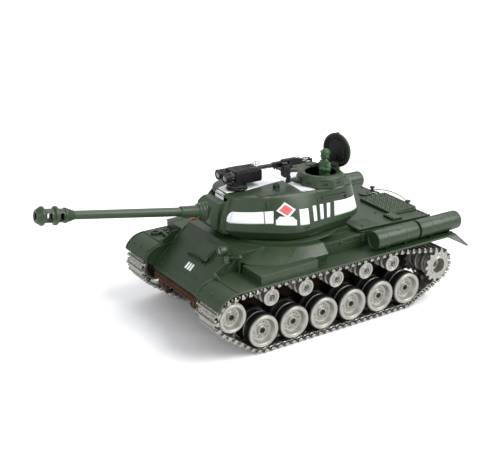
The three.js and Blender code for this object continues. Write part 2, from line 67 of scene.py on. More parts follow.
class NT:
    def __init__(self, name):
        self.m = bpy.data.materials.new(name)
        self.m.use_nodes = True
        self.nt = self.m.node_tree
        self.nt.nodes.clear()
        self.out = self.nt.nodes.new("ShaderNodeOutputMaterial")
        self.b = self.nt.nodes.new("ShaderNodeBsdfPrincipled")
        self.nt.links.new(self.b.outputs[0], self.out.inputs[0])
        self.tc = self.nt.nodes.new("ShaderNodeTexCoord")

    def n(self, kind, **inputs):
        nd = self.nt.nodes.new(kind)
        for k, v in inputs.items():
            if hasattr(nd, k) and k not in nd.inputs:
                setattr(nd, k, v)
        return nd

    def link(self, a, b):
        self.nt.links.new(a, b)

    def noise(self, scale, detail=4.0, rough=0.55, vec=None, distort=0.0):
        nd = self.nt.nodes.new("ShaderNodeTexNoise")
        nd.inputs["Scale"].default_value = scale
        nd.inputs["Detail"].default_value = detail
        nd.inputs["Roughness"].default_value = rough
        nd.inputs["Distortion"].default_value = distort
        self.link(vec if vec is not None else self.tc.outputs["Object"], nd.inputs["Vector"])
        return nd.outputs[0]

    def rng(self, val, a, b, c=0.0, d=1.0):
        nd = self.nt.nodes.new("ShaderNodeMapRange")
        self.link(val, nd.inputs[0])
        for i, v in zip((1, 2, 3, 4), (a, b, c, d)):
            nd.inputs[i].default_value = v
        return nd.outputs[0]

    def math(self, op, a, b=None):
        nd = self.nt.nodes.new("ShaderNodeMath")
        nd.operation = op
        for i, v in enumerate((a, b)):
            if v is None:
                continue
            if isinstance(v, (int, float)):
                nd.inputs[i].default_value = v
            else:
                self.link(v, nd.inputs[i])
        return nd.outputs[0]

    def mix(self, fac, a, b):
        nd = self.nt.nodes.new("ShaderNodeMix")
        nd.data_type = "RGBA"
        for sock, v in ((nd.inputs["Factor"], fac), (nd.inputs[6], a), (nd.inputs[7], b)):
            if isinstance(v, (int, float)):
                sock.default_value = v
            elif isinstance(v, tuple):
                sock.default_value = (*v[:3], 1)
            else:
                self.link(v, sock)
        return nd.outputs[2]


def paint(name, rgb, rough=0.45, metal=0.0, var=0.14, vscale=45, grain=1400, bump=0.12, bevel=0.0005,
          edge_wear_and_highlight=None, edge_wear_and_highlight_amt=0.6, dust=None, dust_amt=0.0, grime=0.0, spec=0.5, coat=0.0, blotch=220, rvar=0.08, brushed=None):
    t = NT(name)
    big = t.noise(vscale, 5.0)
    mid = t.noise(blotch, 4.0, 0.6)
    if brushed:
        mp = t.nt.nodes.new("ShaderNodeMapping")
        mp.inputs["Scale"].default_value = brushed
        t.link(t.tc.outputs["Object"], mp.inputs[0])
        fine = t.noise(1.0, 4.0, 0.6, mp.outputs[0])
    else:
        fine = t.noise(grain, 3.0, 0.6)
    dark = tuple(c * (1 - var) for c in rgb)
    light = tuple(min(1.0, c * (1 + var)) for c in rgb)
    col = t.mix(t.rng(big, 0.3, 0.7), dark, light)
    col = t.mix(t.rng(mid, 0.35, 0.75, 0.0, 0.35), col, tuple(c * (1 - var * 0.9) for c in rgb))
    geo = t.nt.nodes.new("ShaderNodeNewGeometry")
    bev = t.nt.nodes.new("ShaderNodeBevel")
    bev.samples = 4
    bev.inputs["Radius"].default_value = bevel
    rsock = t.rng(t.math("ADD", t.math("MULTIPLY", mid, 0.6), t.math("MULTIPLY", fine, 0.4)), 0.3, 0.7, rough - rvar, rough + rvar)
    if grime > 0:
        col = t.mix(t.math("MULTIPLY", t.rng(big, 0.45, 0.7), grime), col, tuple(c * 0.45 for c in rgb))
    if dust is not None:
        sep = t.nt.nodes.new("ShaderNodeSeparateXYZ")
        t.link(geo.outputs["Normal"], sep.inputs[0])
        up = t.rng(sep.outputs[2], 0.3, 1.0, 0.0, dust_amt)
        col = t.mix(t.math("MULTIPLY", up, t.rng(mid, 0.3, 0.7, 0.5, 1.2)), col, dust)
    # lighter colour on the rounded edges: partly rubbed paint, partly a painted highlight for the light the edges catch
    if edge_wear_and_highlight is not None:
        dot = t.nt.nodes.new("ShaderNodeVectorMath")
        dot.operation = "DOT_PRODUCT"
        t.link(bev.outputs[0], dot.inputs[0])
        t.link(geo.outputs["True Normal"], dot.inputs[1])
        e = t.rng(dot.outputs["Value"], 0.995, 0.86, 0.0, 1.0)
        e = t.math("MULTIPLY", e, t.rng(mid, 0.42, 0.62, 0.25, edge_wear_and_highlight_amt))
        col = t.mix(e, col, edge_wear_and_highlight)
    t.link(col, t.b.inputs["Base Color"])
    t.link(rsock, t.b.inputs["Roughness"])
    t.b.inputs["Metallic"].default_value = metal
    t.b.inputs["Specular IOR Level"].default_value = spec
    if coat:
        t.b.inputs["Coat Weight"].default_value = coat
        t.b.inputs["Coat Roughness"].default_value = 0.25
    bp = t.nt.nodes.new("ShaderNodeBump")
    bp.inputs["Strength"].default_value = bump
    bp.inputs["Distance"].default_value = 0.00025
    t.link(t.math("ADD", t.math("MULTIPLY", fine, 0.7), t.math("MULTIPLY", mid, 0.6)), bp.inputs["Height"])
    t.link(bev.outputs[0], bp.inputs["Normal"])
    t.link(bp.outputs[0], t.b.inputs["Normal"])
    return t.m


G = lin(35, 53, 30)
GREEN = paint("green_paint", G, rough=0.40, var=0.10, edge_wear_and_highlight=lin(92, 112, 78), edge_wear_and_highlight_amt=0.7, dust=lin(84, 90, 76), dust_amt=0.10, spec=0.5)
GREEN_CAST = paint("green_cast_paint", G, rough=0.38, var=0.11, grain=1100, bump=0.26, blotch=320, edge_wear_and_highlight=lin(92, 112, 78), edge_wear_and_highlight_amt=0.75, dust=lin(84, 90, 76), dust_amt=0.12)
GREEN_DARK = paint("green_fitting", lin(34, 50, 28), rough=0.34, var=0.12, edge_wear_and_highlight=lin(88, 110, 74), edge_wear_and_highlight_amt=0.8)
GREY_ROOF = paint("roof_plate_paint", lin(44, 54, 38), rough=0.48, var=0.10, edge_wear_and_highlight=lin(96, 108, 84), edge_wear_and_highlight_amt=0.6)
BROWN = paint("brown_lower_paint", lin(48, 32, 22), rough=0.72, var=0.22, bump=0.35, dust=lin(110, 88, 66), dust_amt=0.25, edge_wear_and_highlight=lin(104, 76, 56), edge_wear_and_highlight_amt=0.6, spec=0.3)
RUST = paint("rust_brown", lin(70, 46, 32), rough=0.75, var=0.30, bump=0.6, blotch=500, edge_wear_and_highlight=lin(140, 104, 78), edge_wear_and_highlight_amt=0.8, spec=0.3)
SILVER = paint("bare_cast_metal", lin(168, 167, 160), rough=0.42, metal=0.8, var=0.07, bump=0.24, grain=1800, blotch=420, edge_wear_and_highlight=lin(222, 221, 214), edge_wear_and_highlight_amt=0.8, rvar=0.10, spec=0.5, grime=0.25)
TRACKM = paint("track_metal", lin(158, 156, 148), rough=0.32, metal=0.9, var=0.2, bump=0.4, grain=1500, blotch=500, edge_wear_and_highlight=lin(245, 243, 236), edge_wear_and_highlight_amt=0.9, rvar=0.12, grime=0.25)
GUNMETAL = paint("dark_steel", lin(58, 58, 58), rough=0.36, metal=0.7, var=0.15, bump=0.25, edge_wear_and_highlight=lin(150, 150, 148), edge_wear_and_highlight_amt=0.7)
RUBBER = paint("rubber_tyre", lin(15, 15, 15), rough=0.42, var=0.16, bump=0.18, blotch=500, spec=0.35, edge_wear_and_highlight=lin(70, 70, 70), edge_wear_and_highlight_amt=0.6)
BLACK = paint("black_plastic", lin(6, 6, 7), rough=0.34, var=0.25, bump=0.15, edge_wear_and_highlight=lin(84, 84, 86), edge_wear_and_highlight_amt=0.6, spec=0.22)
HATCHIN = paint("hatch_lining", lin(13, 11, 10), rough=0.55, var=0.22, bump=0.45, grain=2200, spec=0.3)
WHITE = paint("white_marking_paint", lin(236, 238, 240), rough=0.5, var=0.03, bump=0.12, grime=0.0, bevel=0.0001)
RED = paint("coral_marking_paint", lin(226, 92, 92), rough=0.5, var=0.07, bump=0.12, bevel=0.0001)
FIG = paint("figure_green_resin", lin(40, 72, 40), rough=0.46, var=0.16, bump=0.22, grain=1600, blotch=600, edge_wear_and_highlight=lin(92, 138, 94), edge_wear_and_highlight_amt=0.8)
FIG_SKIN = paint("figure_face_resin", lin(50, 84, 50), rough=0.48, var=0.10, bump=0.10, grain=1600)
CABLE = paint("tow_cable_steel", lin(196, 188, 168), rough=0.45, metal=0.5, var=0.15, bump=0.5, brushed=(900, 900, 2600))
# near-black fill for slits, gaps, holes and recesses: painted shade standing for the dark inside them
SHADE_FILL = paint("painted_shade_fill", lin(10, 11, 10), rough=0.9, var=0.2, bump=0.1, spec=0.1)
MESHM = paint("mesh_wire", lin(70, 84, 64), rough=0.42, var=0.12, metal=0.15, bump=0.2)
ORANGE = paint("orange_tip", lin(190, 78, 38), rough=0.5, var=0.15, bump=0.2)
BOARD = paint("solder_mask", lin(22, 92, 48), rough=0.35, var=0.12, bump=0.1)
BLUEWRAP = paint("battery_wrap", lin(28, 54, 128), rough=0.25, var=0.1, bump=0.08)


def glass(name, rgb):
    t = NT(name)
    n = t.noise(600, 2.0)
    t.link(t.mix(t.rng(n, 0.3, 0.7), rgb, tuple(c * 1.4 for c in rgb)), t.b.inputs["Base Color"])
    t.link(t.rng(n, 0.3, 0.7, 0.03, 0.09), t.b.inputs["Roughness"])
    t.b.inputs["Coat Weight"].default_value = 1.0
    t.b.inputs["Coat Roughness"].default_value = 0.03
    t.b.inputs["Specular IOR Level"].default_value = 0.8
    return t.m


LENS = glass("lens_glass", lin(16, 18, 22))
LAMPGLASS = glass("lamp_glass", lin(190, 196, 190))


# ---------------------------------------------------------------- shapes
def lathe(prof, n=48, axis="y", a0=0.0):
    """Turned shape: prof is (radius, height) from one end of the axis to the other."""
    verts, rows, faces = [], [], []
    for r, h in prof:
        if r < 1e-6:
            rows.append([len(verts)])
            verts.append((0, h, 0))
        else:
            rows.append(list(range(len(verts), len(verts) + n)))
            for k in range(n):
                a = a0 + 2 * PI * k / n
                verts.append((r * math.cos(a), h, r * math.sin(a)))
    for A, B in zip(rows, rows[1:]):
        for k in range(n):
            k2 = (k + 1) % n
            if len(A) == 1 and len(B) == 1:
                continue
            if len(A) == 1:
                faces.append((A[0], B[k], B[k2]))
            elif len(B) == 1:
                faces.append((A[k], B[0], A[k2]))
            else:
                faces.append((A[k], B[k], B[k2], A[k2]))
    if axis == "x":
        verts = [(h, x, z) for x, h, z in verts]
    elif axis == "z":
        verts = [(x, z, h) for x, h, z in verts]
    return verts, faces


def ringlathe(prof, n=48, axis="y", a0=0.0):
    """Turned ring with an open middle: the profile closes on itself."""
    v, f = lathe(list(prof) + [prof[0]], n, axis, a0)
    m = len(v) - n
    f = [tuple(i - m if i >= m else i for i in q) for q in f]
    return v[:m], f


def box(x0, x1, y0, y1, z0, z1):
    v = [(x, y, z) for z in (z0, z1) for y in (y0, y1) for x in (x0, x1)]
    return v, [(0, 2, 3, 1), (4, 5, 7, 6), (0, 1, 5, 4), (2, 6, 7, 3), (0, 4, 6, 2), (1, 3, 7, 5)]


def prism(poly, a, b, plane="xz"):
    n = len(poly)
    put = {"xz": lambda p, h: (p[0], h, p[1]), "xy": lambda p, h: (p[0], p[1], h), "yz": lambda p, h: (h, p[0], p[1])}[plane]
    v = [put(p, a) for p in poly] + [put(p, b) for p in poly]
    return v, [tuple(range(n))[::-1], tuple(range(n, 2 * n))] + [(i, (i + 1) % n, n + (i + 1) % n, n + i) for i in range(n)]


def tube(pts, r, n=8, closed=False):
    pts = [Vector(p) for p in pts]
    v, f = [], []
    m = len(pts)
    up = None
    for i, p in enumerate(pts):
        if closed:
            d = pts[(i + 1) % m] - pts[i - 1]
        else:
            d = pts[min(i + 1, m - 1)] - pts[max(i - 1, 0)]
        d.normalize()
        if up is None:
            up = Vector((0, 0, 1)) if abs(d.z) < 0.9 else Vector((1, 0, 0))
        s = d.cross(up).normalized()
        up = s.cross(d).normalized()
        rr = r(i / max(1, m - 1)) if callable(r) else r
        for k in range(n):
            a = 2 * PI * k / n
            v.append(tuple(p + s * (rr * math.cos(a)) + up * (rr * math.sin(a))))
    for i in range(m if closed else m - 1):
        j = (i + 1) % m
        for k in range(n):
            k2 = (k + 1) % n
            f.append((i * n + k, j * n + k, j * n + k2, i * n + k2))
    if not closed:
        f.append(tuple(range(n)))
        f.append(tuple(range((m - 1) * n, m * n))[::-1])
    return v, f


def ell(c, rx, ry, rz, n=20, m=12):
    prof = [(math.sin(PI * i / m), -math.cos(PI * i / m)) for i in range(m + 1)]
    prof[0] = (0, -1)
    prof[-1] = (0, 1)
    v, f = lathe(prof, n, "z")
    return [(c[0] + x * rx, c[1] + y * ry, c[2] + z * rz) for x, y, z in v], f


def bolt(r, h, n=6):
    """Hexagon head with a chamfered top, standing on z 0."""
    return lathe([(0, 0), (r, 0), (r, h * 0.75), (r * 0.82, h), (0, h)], n, "z")


def rivet(r, h=None):
    h = h or r * 0.55
    return lathe([(0, -0.3), (r, -0.3), (r, 0), (r * 0.9, h * 0.45), (r * 0.6, h * 0.85), (0, h)], 12, "z")


class Part:
    def __init__(self, name, body, mats, X=HULL, bevel=0.0, ang=34, seg=2, replaces=(), slot=None, wn=True):
        self.name, self.body, self.X, self.bevel, self.ang, self.seg = name, body, X, bevel, ang, seg
        self.mats = mats if isinstance(mats, (list, tuple)) else [mats]
        self.rep, self.slot, self.wn = replaces, slot, wn
        self.V, self.F, self.M = [], [], []

    def add(self, vf, M=None, m=0):
        o = len(self.V)
        flip = M is not None and M.determinant() < 0
        for v in vf[0]:
            v = Vector(v)
            self.V.append(M @ v if M is not None else v)
        for f in vf[1]:
            self.F.append([i + o for i in (f[::-1] if flip else f)])
            self.M.append(m)
        return self

    def done(self, fix=True, post=None):
        bm = bmesh.new()
        vs = [bm.verts.new(self.X @ v) for v in self.V]
        for f, m in zip(self.F, self.M):
            try:
                q = bm.faces.new([vs[i] for i in f])
                q.material_index = m
            except ValueError:
                pass
        return finish_mesh(self.name, bm, self.body, self.mats, self.bevel, self.ang, self.seg, self.rep, fix, post)


def finish_mesh(name, bm, body, mats, bevel=0.0, ang=34, seg=2, rep=(), fix=True, post=None):
    if fix:
        bmesh.ops.recalc_face_normals(bm, faces=bm.faces)
    if bevel > 0:
        es = [e for e in bm.edges if len(e.link_faces) == 2 and e.calc_face_angle(0) > rad(28)]
        bmesh.ops.bevel(bm, geom=es, offset=bevel / 1000, segments=seg, profile=0.5, affect="EDGES", clamp_overlap=True)
    me = bpy.data.meshes.new(name)
    bm.to_mesh(me)
    bm.free()
    for p in me.polygons:
        p.use_smooth = True
    me.set_sharp_from_angle(angle=rad(ang if bevel <= 0 else 50))
    o = bpy.data.objects.new(name, me)
    bpy.context.scene.collection.objects.link(o)
    for m in mats:
        me.materials.append(m)
    if bevel > 0:
        w = o.modifiers.new("normals", "WEIGHTED_NORMAL")
        w.keep_sharp = True
    if post:
        post(o)
    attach(o, body)
    if rep:
        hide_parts(*([rep] if isinstance(rep, str) else rep))
    return o


def skin(node, body, mats, bevel, name=None, cut=None):
    """A finer copy of a CAD piece: flat faces joined, edges rounded."""
    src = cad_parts[node].data
    bm = bmesh.new()
    bm.from_mesh(src)
    bmesh.ops.remove_doubles(bm, verts=bm.verts, dist=2e-6)
    bmesh.ops.dissolve_limit(bm, angle_limit=rad(0.8), verts=bm.verts, edges=bm.edges)
    for f in bm.faces:
        f.material_index = 0
    if cut:
        cut(bm)
    return finish_mesh(name or node + "_shell", bm, body, mats, bevel, rep=node)


def quadgrid(c, n, m):
    """Bilinear grid inside four corners."""
    a, b, cc, d = [Vector((*p, 0)) for p in c]
    v, f = [], []
    for j in range(m + 1):
        for i in range(n + 1):
            s, t = i / n, j / m
            v.append((a * (1 - s) + b * s) * (1 - t) + (d * (1 - s) + cc * s) * t)
    for j in range(m):
        for i in range(n):
            k = j * (n + 1) + i
            f.append((k, k + 1, k + n + 2, k + n + 1))
    return v, f


def tree_of(*objs):
    dg = bpy.context.evaluated_depsgraph_get()
    return [(BVHTree.FromObject(o, dg), o) for o in objs]


def laid(name, body, mat, trees, X, quads, ray, lift=0.12, n=10, m=6):
    """Paint laid on a surface: each quad's grid is dropped along ray, given by to3d(u, v) -> (start, direction) in X's axes."""
    bm = bmesh.new()
    bpy.context.view_layer.update()
    for q in quads:
        v, f = quadgrid(q[:4], *(q[4] if len(q) > 4 else (n, m)))
        vs = []
        for p in v:
            s, d = ray(p.x, p.y)
            s = X @ Vector(s)
            d = (X.to_3x3() @ Vector(d)).normalized()
            best = None
            for t, o in trees:
                inv = o.matrix_world.inverted()
                h = t.ray_cast(inv @ s, (inv.to_3x3() @ d).normalized())
                if h[0] is not None and (best is None or h[3] < best[0]):
                    best = (h[3], o.matrix_world @ h[0], (o.matrix_world.to_3x3() @ h[1]).normalized())
            if best is None:
                vs.append(None)
            else:
                nn = best[2] if best[2].dot(d) < 0 else -best[2]
                vs.append(bm.verts.new(best[1] + (nn * 0.4 - d * 0.6).normalized() * (lift / 1000)))
        for g in f:
            c = [vs[i] for i in g]
            if all(c):
                bm.faces.new(c)
    bmesh.ops.recalc_face_normals(bm, faces=bm.faces)
    # the outer side faces back along the ray
    s, d = ray(quads[0][0][0], quads[0][0][1])
    dd = (X.to_3x3() @ Vector(d)).normalized()
    if sum(f.normal.dot(dd) for f in bm.faces) > 0:
        bmesh.ops.reverse_faces(bm, faces=bm.faces)
    me = bpy.data.meshes.new(name)
    bm.to_mesh(me)
    bm.free()
    for p in me.polygons:
        p.use_smooth = True
    me.materials.append(mat)
    o = bpy.data.objects.new(name, me)
    bpy.context.scene.collection.objects.link(o)
    s = o.modifiers.new("thickness", "SOLIDIFY")
    s.thickness = 0.00008
    s.offset = -1
    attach(o, body)
    return o


def bool_cut(o, cutter_vf, X):
    """Takes a shape out of an object's mesh."""
    me = bpy.data.meshes.new("cutter")
    bm = bmesh.new()
    for v, f in cutter_vf:
        vs = [bm.verts.new(X @ Vector(p)) for p in v]
        for q in f:
            bm.faces.new([vs[i] for i in q])
    bmesh.ops.recalc_face_normals(bm, faces=bm.faces)
    bm.to_mesh(me)
    bm.free()
    c = bpy.data.objects.new("cutter", me)
    bpy.context.scene.collection.objects.link(c)
    mod = o.modifiers.new("cut", "BOOLEAN")
    mod.operation = "DIFFERENCE"
    mod.solver = "EXACT"
    mod.use_self = False
    mod.object = c
    dg = bpy.context.evaluated_depsgraph_get()
    new = bpy.data.meshes.new_from_object(o.evaluated_get(dg))
    o.modifiers.remove(mod)
    old = o.data
    o.data = new
    bpy.data.objects.remove(c)
    for p in new.polygons:
        p.use_smooth = True
    new.set_sharp_from_angle(angle=rad(34))
    return o


def spline_closed(pts, k):
    """Catmull-Rom through a closed outline, k points per span."""
    n = len(pts)
    out = []
    for i in range(n):
        p0, p1, p2, p3 = (Vector(pts[(i + j - 1) % n]) for j in range(4))
        for s in range(k):
            t = s / k
            out.append(0.5 * ((2 * p1) + (-p0 + p2) * t + (2 * p0 - 5 * p1 + 4 * p2 - p3) * t * t + (-p0 + 3 * p1 - 3 * p2 + p3) * t ** 3))
    return out


# ---------------------------------------------------------------- running gear
PITCH, WZ, TR = 37.15, 24.31, 18.1
IDL, SPR = (36.0, 47.86, 15.9), (-229.05, 41.44, 14.6)
ROLLX, ROLLZ, ROLLR = (-9.6, -51.5, -90.0, -128.5, -164.5), 58.3, 9.0


def place(verts_faces, M):
    return [tuple(M @ Vector(v)) for v in verts_faces[0]], verts_faces[1]


def smoothprof(pts):
    return pts


def wheel_parts(P, R0, face_y, inner_y, tyre=True):
    """Disc wheel on the y axis, outer face towards +y: two dished metal discs on a drum, each with its rubber tyre."""
    k = R0 / 18.1
    rim = 17.1 * k
    f = face_y
    metal = [(0, f - 8.2), (2.5, f - 8.2), (2.5, f - 4.0), (2.8, f - 3.6), (4.3 * k, f - 3.5), (4.8 * k, f - 3.8), (5.3 * k, f - 5.2), (6.0 * k, f - 5.8), (7.4 * k, f - 6.1),
             (10.0 * k, f - 6.0), (11.2 * k, f - 5.5), (12.2 * k, f - 3.4), (12.9 * k, f - 1.4), (13.3 * k, f - 0.5), (13.8 * k, f - 0.1), (14.4 * k, f), (15.2 * k, f), (15.4 * k, f - 0.25), (15.7 * k, f - 0.25), (15.9 * k, f), (16.5 * k, f - 0.1), (16.9 * k, f - 0.4), (rim, f - 0.9),
             (rim, f - 1.8), (15.6 * k, f - 2.0), (15.6 * k, f - 10.4), (17.0 * k, f - 10.7), (17.6 * k, f - 11.1), (17.6 * k, f - 12.2), (17.2 * k, f - 12.6), (14.2 * k, f - 12.9), (10.5 * k, f - 13.2), (8.2 * k, f - 13.6), (7.6 * k, f - 14.4),
             (7.6 * k, f - 20.6), (0, f - 20.6)]
    inner = [(0, f - 20.4), (8.4 * k, f - 20.9), (12.4 * k, f - 21.2), (13.4 * k, f - 20.3), (16.0 * k, f - 20.1), (16.9 * k, f - 20.4), (17.0 * k, f - 21.0), (15.7 * k, f - 21.3), (15.7 * k, inner_y + 1.2), (13.2 * k, inner_y + 0.6),
             (12.4 * k, inner_y + 3.0), (7.0 * k, inner_y + 3.4), (6.2 * k, inner_y), (0, inner_y)]
    P.add(lathe(metal, 64), None, 0)
    # the inner disc takes the dark steel colour: painted shade for the groove between the two discs
    P.add(lathe(inner, 56), None, 2)
    # rubber tyres, slightly crowned
    for a, b in ((f - 1.9, f - 10.4), (f - 21.2, inner_y + 1.0)):
        P.add(ringlathe([(15.5 * k, a), (17.3 * k, a), (R0 - 0.25, a - 0.35), (R0, a - 1.1), (R0, b + 1.1), (R0 - 0.25, b + 0.35), (17.0 * k, b), (15.5 * k, b)], 64), None, 1)
    # wheel nut, and the ring of bolts in the dish
    P.add(lathe([(0, f - 8.0), (2.1, f - 8.0), (2.1, f - 5.0), (1.7, f - 4.6), (1.0, f - 4.6), (0.9, f - 5.6), (0, f - 5.6)], 6), None, 2)
    P.add(ringlathe([(2.3, f - 3.9), (2.9, f - 3.5), (3.3, f - 3.25), (2.9, f - 3.05), (2.35, f - 3.1)], 32), None, 2)
    for j in range(6):
        a = 2 * PI * j / 6 + 0.35
        M = T(8.4 * k * math.cos(a), f - 6.1, 8.4 * k * math.sin(a)) @ R("X", -90)
        P.add(bolt(0.9 * k, 0.8), M, 0)
        M = T(8.4 * k * math.cos(a + 0.52), f - 6.02, 8.4 * k * math.sin(a + 0.52)) @ R("X", -90)
        P.add(lathe([(0, -0.2), (0.75 * k, -0.2), (0.75 * k, 0.08), (0, 0.08)], 14, "z"), M, 2)


def at(o_mesh_name, name, body, x, z, rep, side, mesh_src):
    o = bpy.data.objects.new(name, mesh_src)
    bpy.context.scene.collection.objects.link(o)
    o.location = HULL @ Vector((x, 0, z)) - HULL @ Vector((0, 0, 0))
    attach(o, body)
    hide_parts(rep)
    return o


def base_mesh(name, build, mats, ang=34):
    """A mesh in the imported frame's axes, made round the hull frame's origin."""
    P = Part(name, "hull", mats)
    build(P)
    bm = bmesh.new()
    vs = [bm.verts.new(HULL @ v) for v in P.V]
    for f, m in zip(P.F, P.M):
        try:
            q = bm.faces.new([vs[i] for i in f])
            q.material_index = m
        except ValueError:
            pass
    bmesh.ops.recalc_face_normals(bm, faces=bm.faces)
    me = bpy.data.meshes.new(name)
    bm.to_mesh(me)
    bm.free()
    for p in me.polygons:
        p.use_smooth = True
    me.set_sharp_from_angle(angle=rad(ang))
    for m in mats:
        me.materials.append(m)
    return me


class Mirror:
    """Adds shapes mirrored to the right side."""

    def __init__(self, P, s):
        self.P, self.S = P, Matrix.Diagonal((1, s, 1, 1))

    def add(self, vf, M=None, m=0):
        self.P.add(vf, self.S @ M if M is not None else self.S, m)


def roller_build(P):
    f = 91.0
    P.add(lathe([(0, f - 2.4), (1.5, f - 2.4), (1.5, f + 0.2), (1.8, f + 0.45), (3.3, f + 0.45), (3.7, f + 0.1), (4.1, f - 0.9), (5.0, f - 1.6), (6.2, f - 1.5), (6.7, f - 0.5), (7.1, f), (8.5, f), (9.0, f - 0.5),
                 (9.0, f - 4.2), (8.7, f - 4.7), (7.5, f - 5.2), (7.3, f - 8.5), (8.7, f - 9.0), (9.0, f - 9.5), (9.0, f - 12.5), (8.6, f - 13.0), (5.4, f - 13.6), (3.2, f - 14.6), (3.2, f - 18.2), (5.4, f - 19.2), (8.7, f - 19.6),
                 (9.0, f - 20.2), (9.0, f - 26.2), (8.4, f - 26.8), (5.2, f - 27.2), (4.6, 62), (0, 62)], 48))
    P.add(lathe([(0, f - 2.2), (1.5, f - 2.2), (1.5, f - 0.1), (1.1, f + 0.2), (0, f + 0.2)], 6), None, 1)
    P.add(ringlathe([(1.55, f + 0.2), (1.9, f + 0.5), (3.0, f + 0.6), (3.35, f + 0.35), (1.6, f + 0.1)], 32), None, 1)


def sprocket_build(P):
    # toothed rings
    def toothed(y0, y1, r_in):
        pts = []
        for k in range(14):
            p = 2 * PI / 14
            for fr, r in ((-0.5, 15.2), (-0.40, 15.5), (-0.22, 16.6), (-0.11, 18.3), (0, 18.75), (0.11, 18.3), (0.22, 16.6), (0.40, 15.5)):
                pts.append((r * math.cos((k + fr) * p), r * math.sin((k + fr) * p)))
        n = len(pts)
        v = [(x, y0 if abs(y0) > 0 else 0, z) for x, z in pts] + [(x, y1, z) for x, z in pts]
        v += [(r_in * math.cos(math.atan2(z, x)), y0, r_in * math.sin(math.atan2(z, x))) for x, z in pts]
        v += [(r_in * math.cos(math.atan2(z, x)), y1, r_in * math.sin(math.atan2(z, x))) for x, z in pts]
        f = []
        for i in range(n):
            j = (i + 1) % n
            f += [(i, j, n + j, n + i), (2 * n + i, 3 * n + i, 3 * n + j, 2 * n + j), (i, 2 * n + i, 2 * n + j, j), (n + i, n + j, 3 * n + j, 3 * n + i)]
        return v, f
    P.add(toothed(90.3, 92.8, 8.6))
    P.add(toothed(56.4, 59.0, 8.6))
    # raised rim round the open centre, cup, and the shaft end
    P.add(ringlathe([(8.4, 92.6), (8.4, 93.6), (9.0, 93.9), (9.9, 93.9), (10.4, 93.4), (10.6, 92.6)], 56))
    P.add(lathe([(0, 85.0), (2.0, 85.0), (2.0, 84.2), (3.2, 84.2), (4.2, 83.4), (6.4, 83.2), (7.9, 84.4), (8.5, 86.5), (8.6, 92.8), (8.8, 92.8), (9.2, 90.2), (11.6, 90.2), (11.6, 86.6), (13.6, 86.2), (13.9, 85.8), (13.9, 84.6), (13.6, 84.2), (12.2, 83.8),
                 (12.2, 81.4), (13.6, 81.0), (13.9, 80.6), (13.9, 79.6), (13.4, 79.2), (9.4, 78.8), (9.2, 71.2), (13.4, 70.8), (13.9, 70.4), (13.9, 69.2), (13.4, 68.8), (11.0, 68.4), (11.0, 60.5), (12.6, 60.0), (12.6, 59.0), (8.6, 58.8), (8.6, 56.6), (0, 56.6)], 56))
    P.add(lathe([(0, 86.4), (1.6, 86.4), (2.1, 86.0), (2.1, 84.6), (0, 84.6)], 6), None, 1)
    for k in range(14):
        a = 2 * PI * (k + 0.5) / 14
        P.add(bolt(0.85, 0.6), T(13.2 * math.cos(a), 92.8, 13.2 * math.sin(a)) @ R("X", -90))
    for k in range(7):
        a = 2 * PI * k / 7
        P.add(bolt(0.7, 0.45), T(11.6 * math.cos(a), 92.8, 11.6 * math.sin(a)) @ R("X", -90))
    P.add(lathe([(0, 42.5), (3.0, 42.5), (3.0, 56.8), (0, 56.8)], 24), None, 1)


for s, side in ((1, "left"), (-1, "right")):
    wheel = base_mesh("wheel_mesh_" + side, lambda P: wheel_parts(Mirror(P, s), 18.1, 92.5, 60), [SILVER, RUBBER, GUNMETAL])
    idler = base_mesh("idler_mesh_" + side, lambda P: wheel_parts(Mirror(P, s), 15.9, 92.5, 60), [SILVER, SILVER, GUNMETAL])
    roller = base_mesh("roller_mesh_" + side, lambda P: roller_build(Mirror(P, s)), [SILVER, GUNMETAL])
    sprock = base_mesh("sprocket_mesh_" + side, lambda P: sprocket_build(Mirror(P, s)), [SILVER, GUNMETAL])
    for i in range(6):
        at("", f"road_wheel_look_{side}_{i+1}", f"wheel_{side}_{i+1}", -i * PITCH, WZ, f"road_wheel_{side}_{i+1}", side, wheel)
    at("", f"idler_look_{side}", f"idler_{side}", IDL[0], IDL[1], f"idler_wheel_{side}", side, idler)
    for i, x in enumerate(ROLLX):
        at("", f"return_roller_look_{side}_{i+1}", f"roller_{side}_{i+1}", x, ROLLZ, f"return_roller_{side}_{i+1}", side, roller)
    at("", f"drive_sprocket_look_{side}", f"sprocket_{side}", SPR[0], SPR[1], f"drive_sprocket_{side}", side, sprock)

# track: links on a closed path round the wheels
GAPR = 0.3
circles = [(0, WZ, TR + GAPR), (IDL[0], IDL[1], IDL[2] + GAPR), (ROLLX[0], ROLLZ, ROLLR + GAPR), (ROLLX[4], ROLLZ, ROLLR + GAPR),
           (SPR[0], SPR[1], SPR[2] + GAPR + 0.2), (-5 * PITCH, WZ, TR + GAPR)]


def belt(grow, n=360):
    tan = []
    for i, (x0, z0, r0) in enumerate(circles):
        x1, z1, r1 = circles[(i + 1) % len(circles)]
        tan.append(math.atan2(z1 - z0, x1 - x0) - PI / 2 + math.asin((r0 - r1) / math.hypot(x1 - x0, z1 - z0)))
    out = []
    for i, (x, z, r) in enumerate(circles):
        a0, a1 = tan[i - 1], tan[i]
        while a1 < a0:
            a1 += 2 * PI
        m = max(2, round((a1 - a0) / (2 * PI) * n))
        out += [(x + (r + grow) * math.cos(a0 + (a1 - a0) * k / m), z + (r + grow) * math.sin(a0 + (a1 - a0) * k / m)) for k in range(m + 1)]
    return out


path = belt(2.6)
cum = [0.0]
for a, b in zip(path, path[1:] + path[:1]):
    cum.append(cum[-1] + math.hypot(b[0] - a[0], b[1] - a[1]))
LINKS = round(cum[-1] / 8.3)


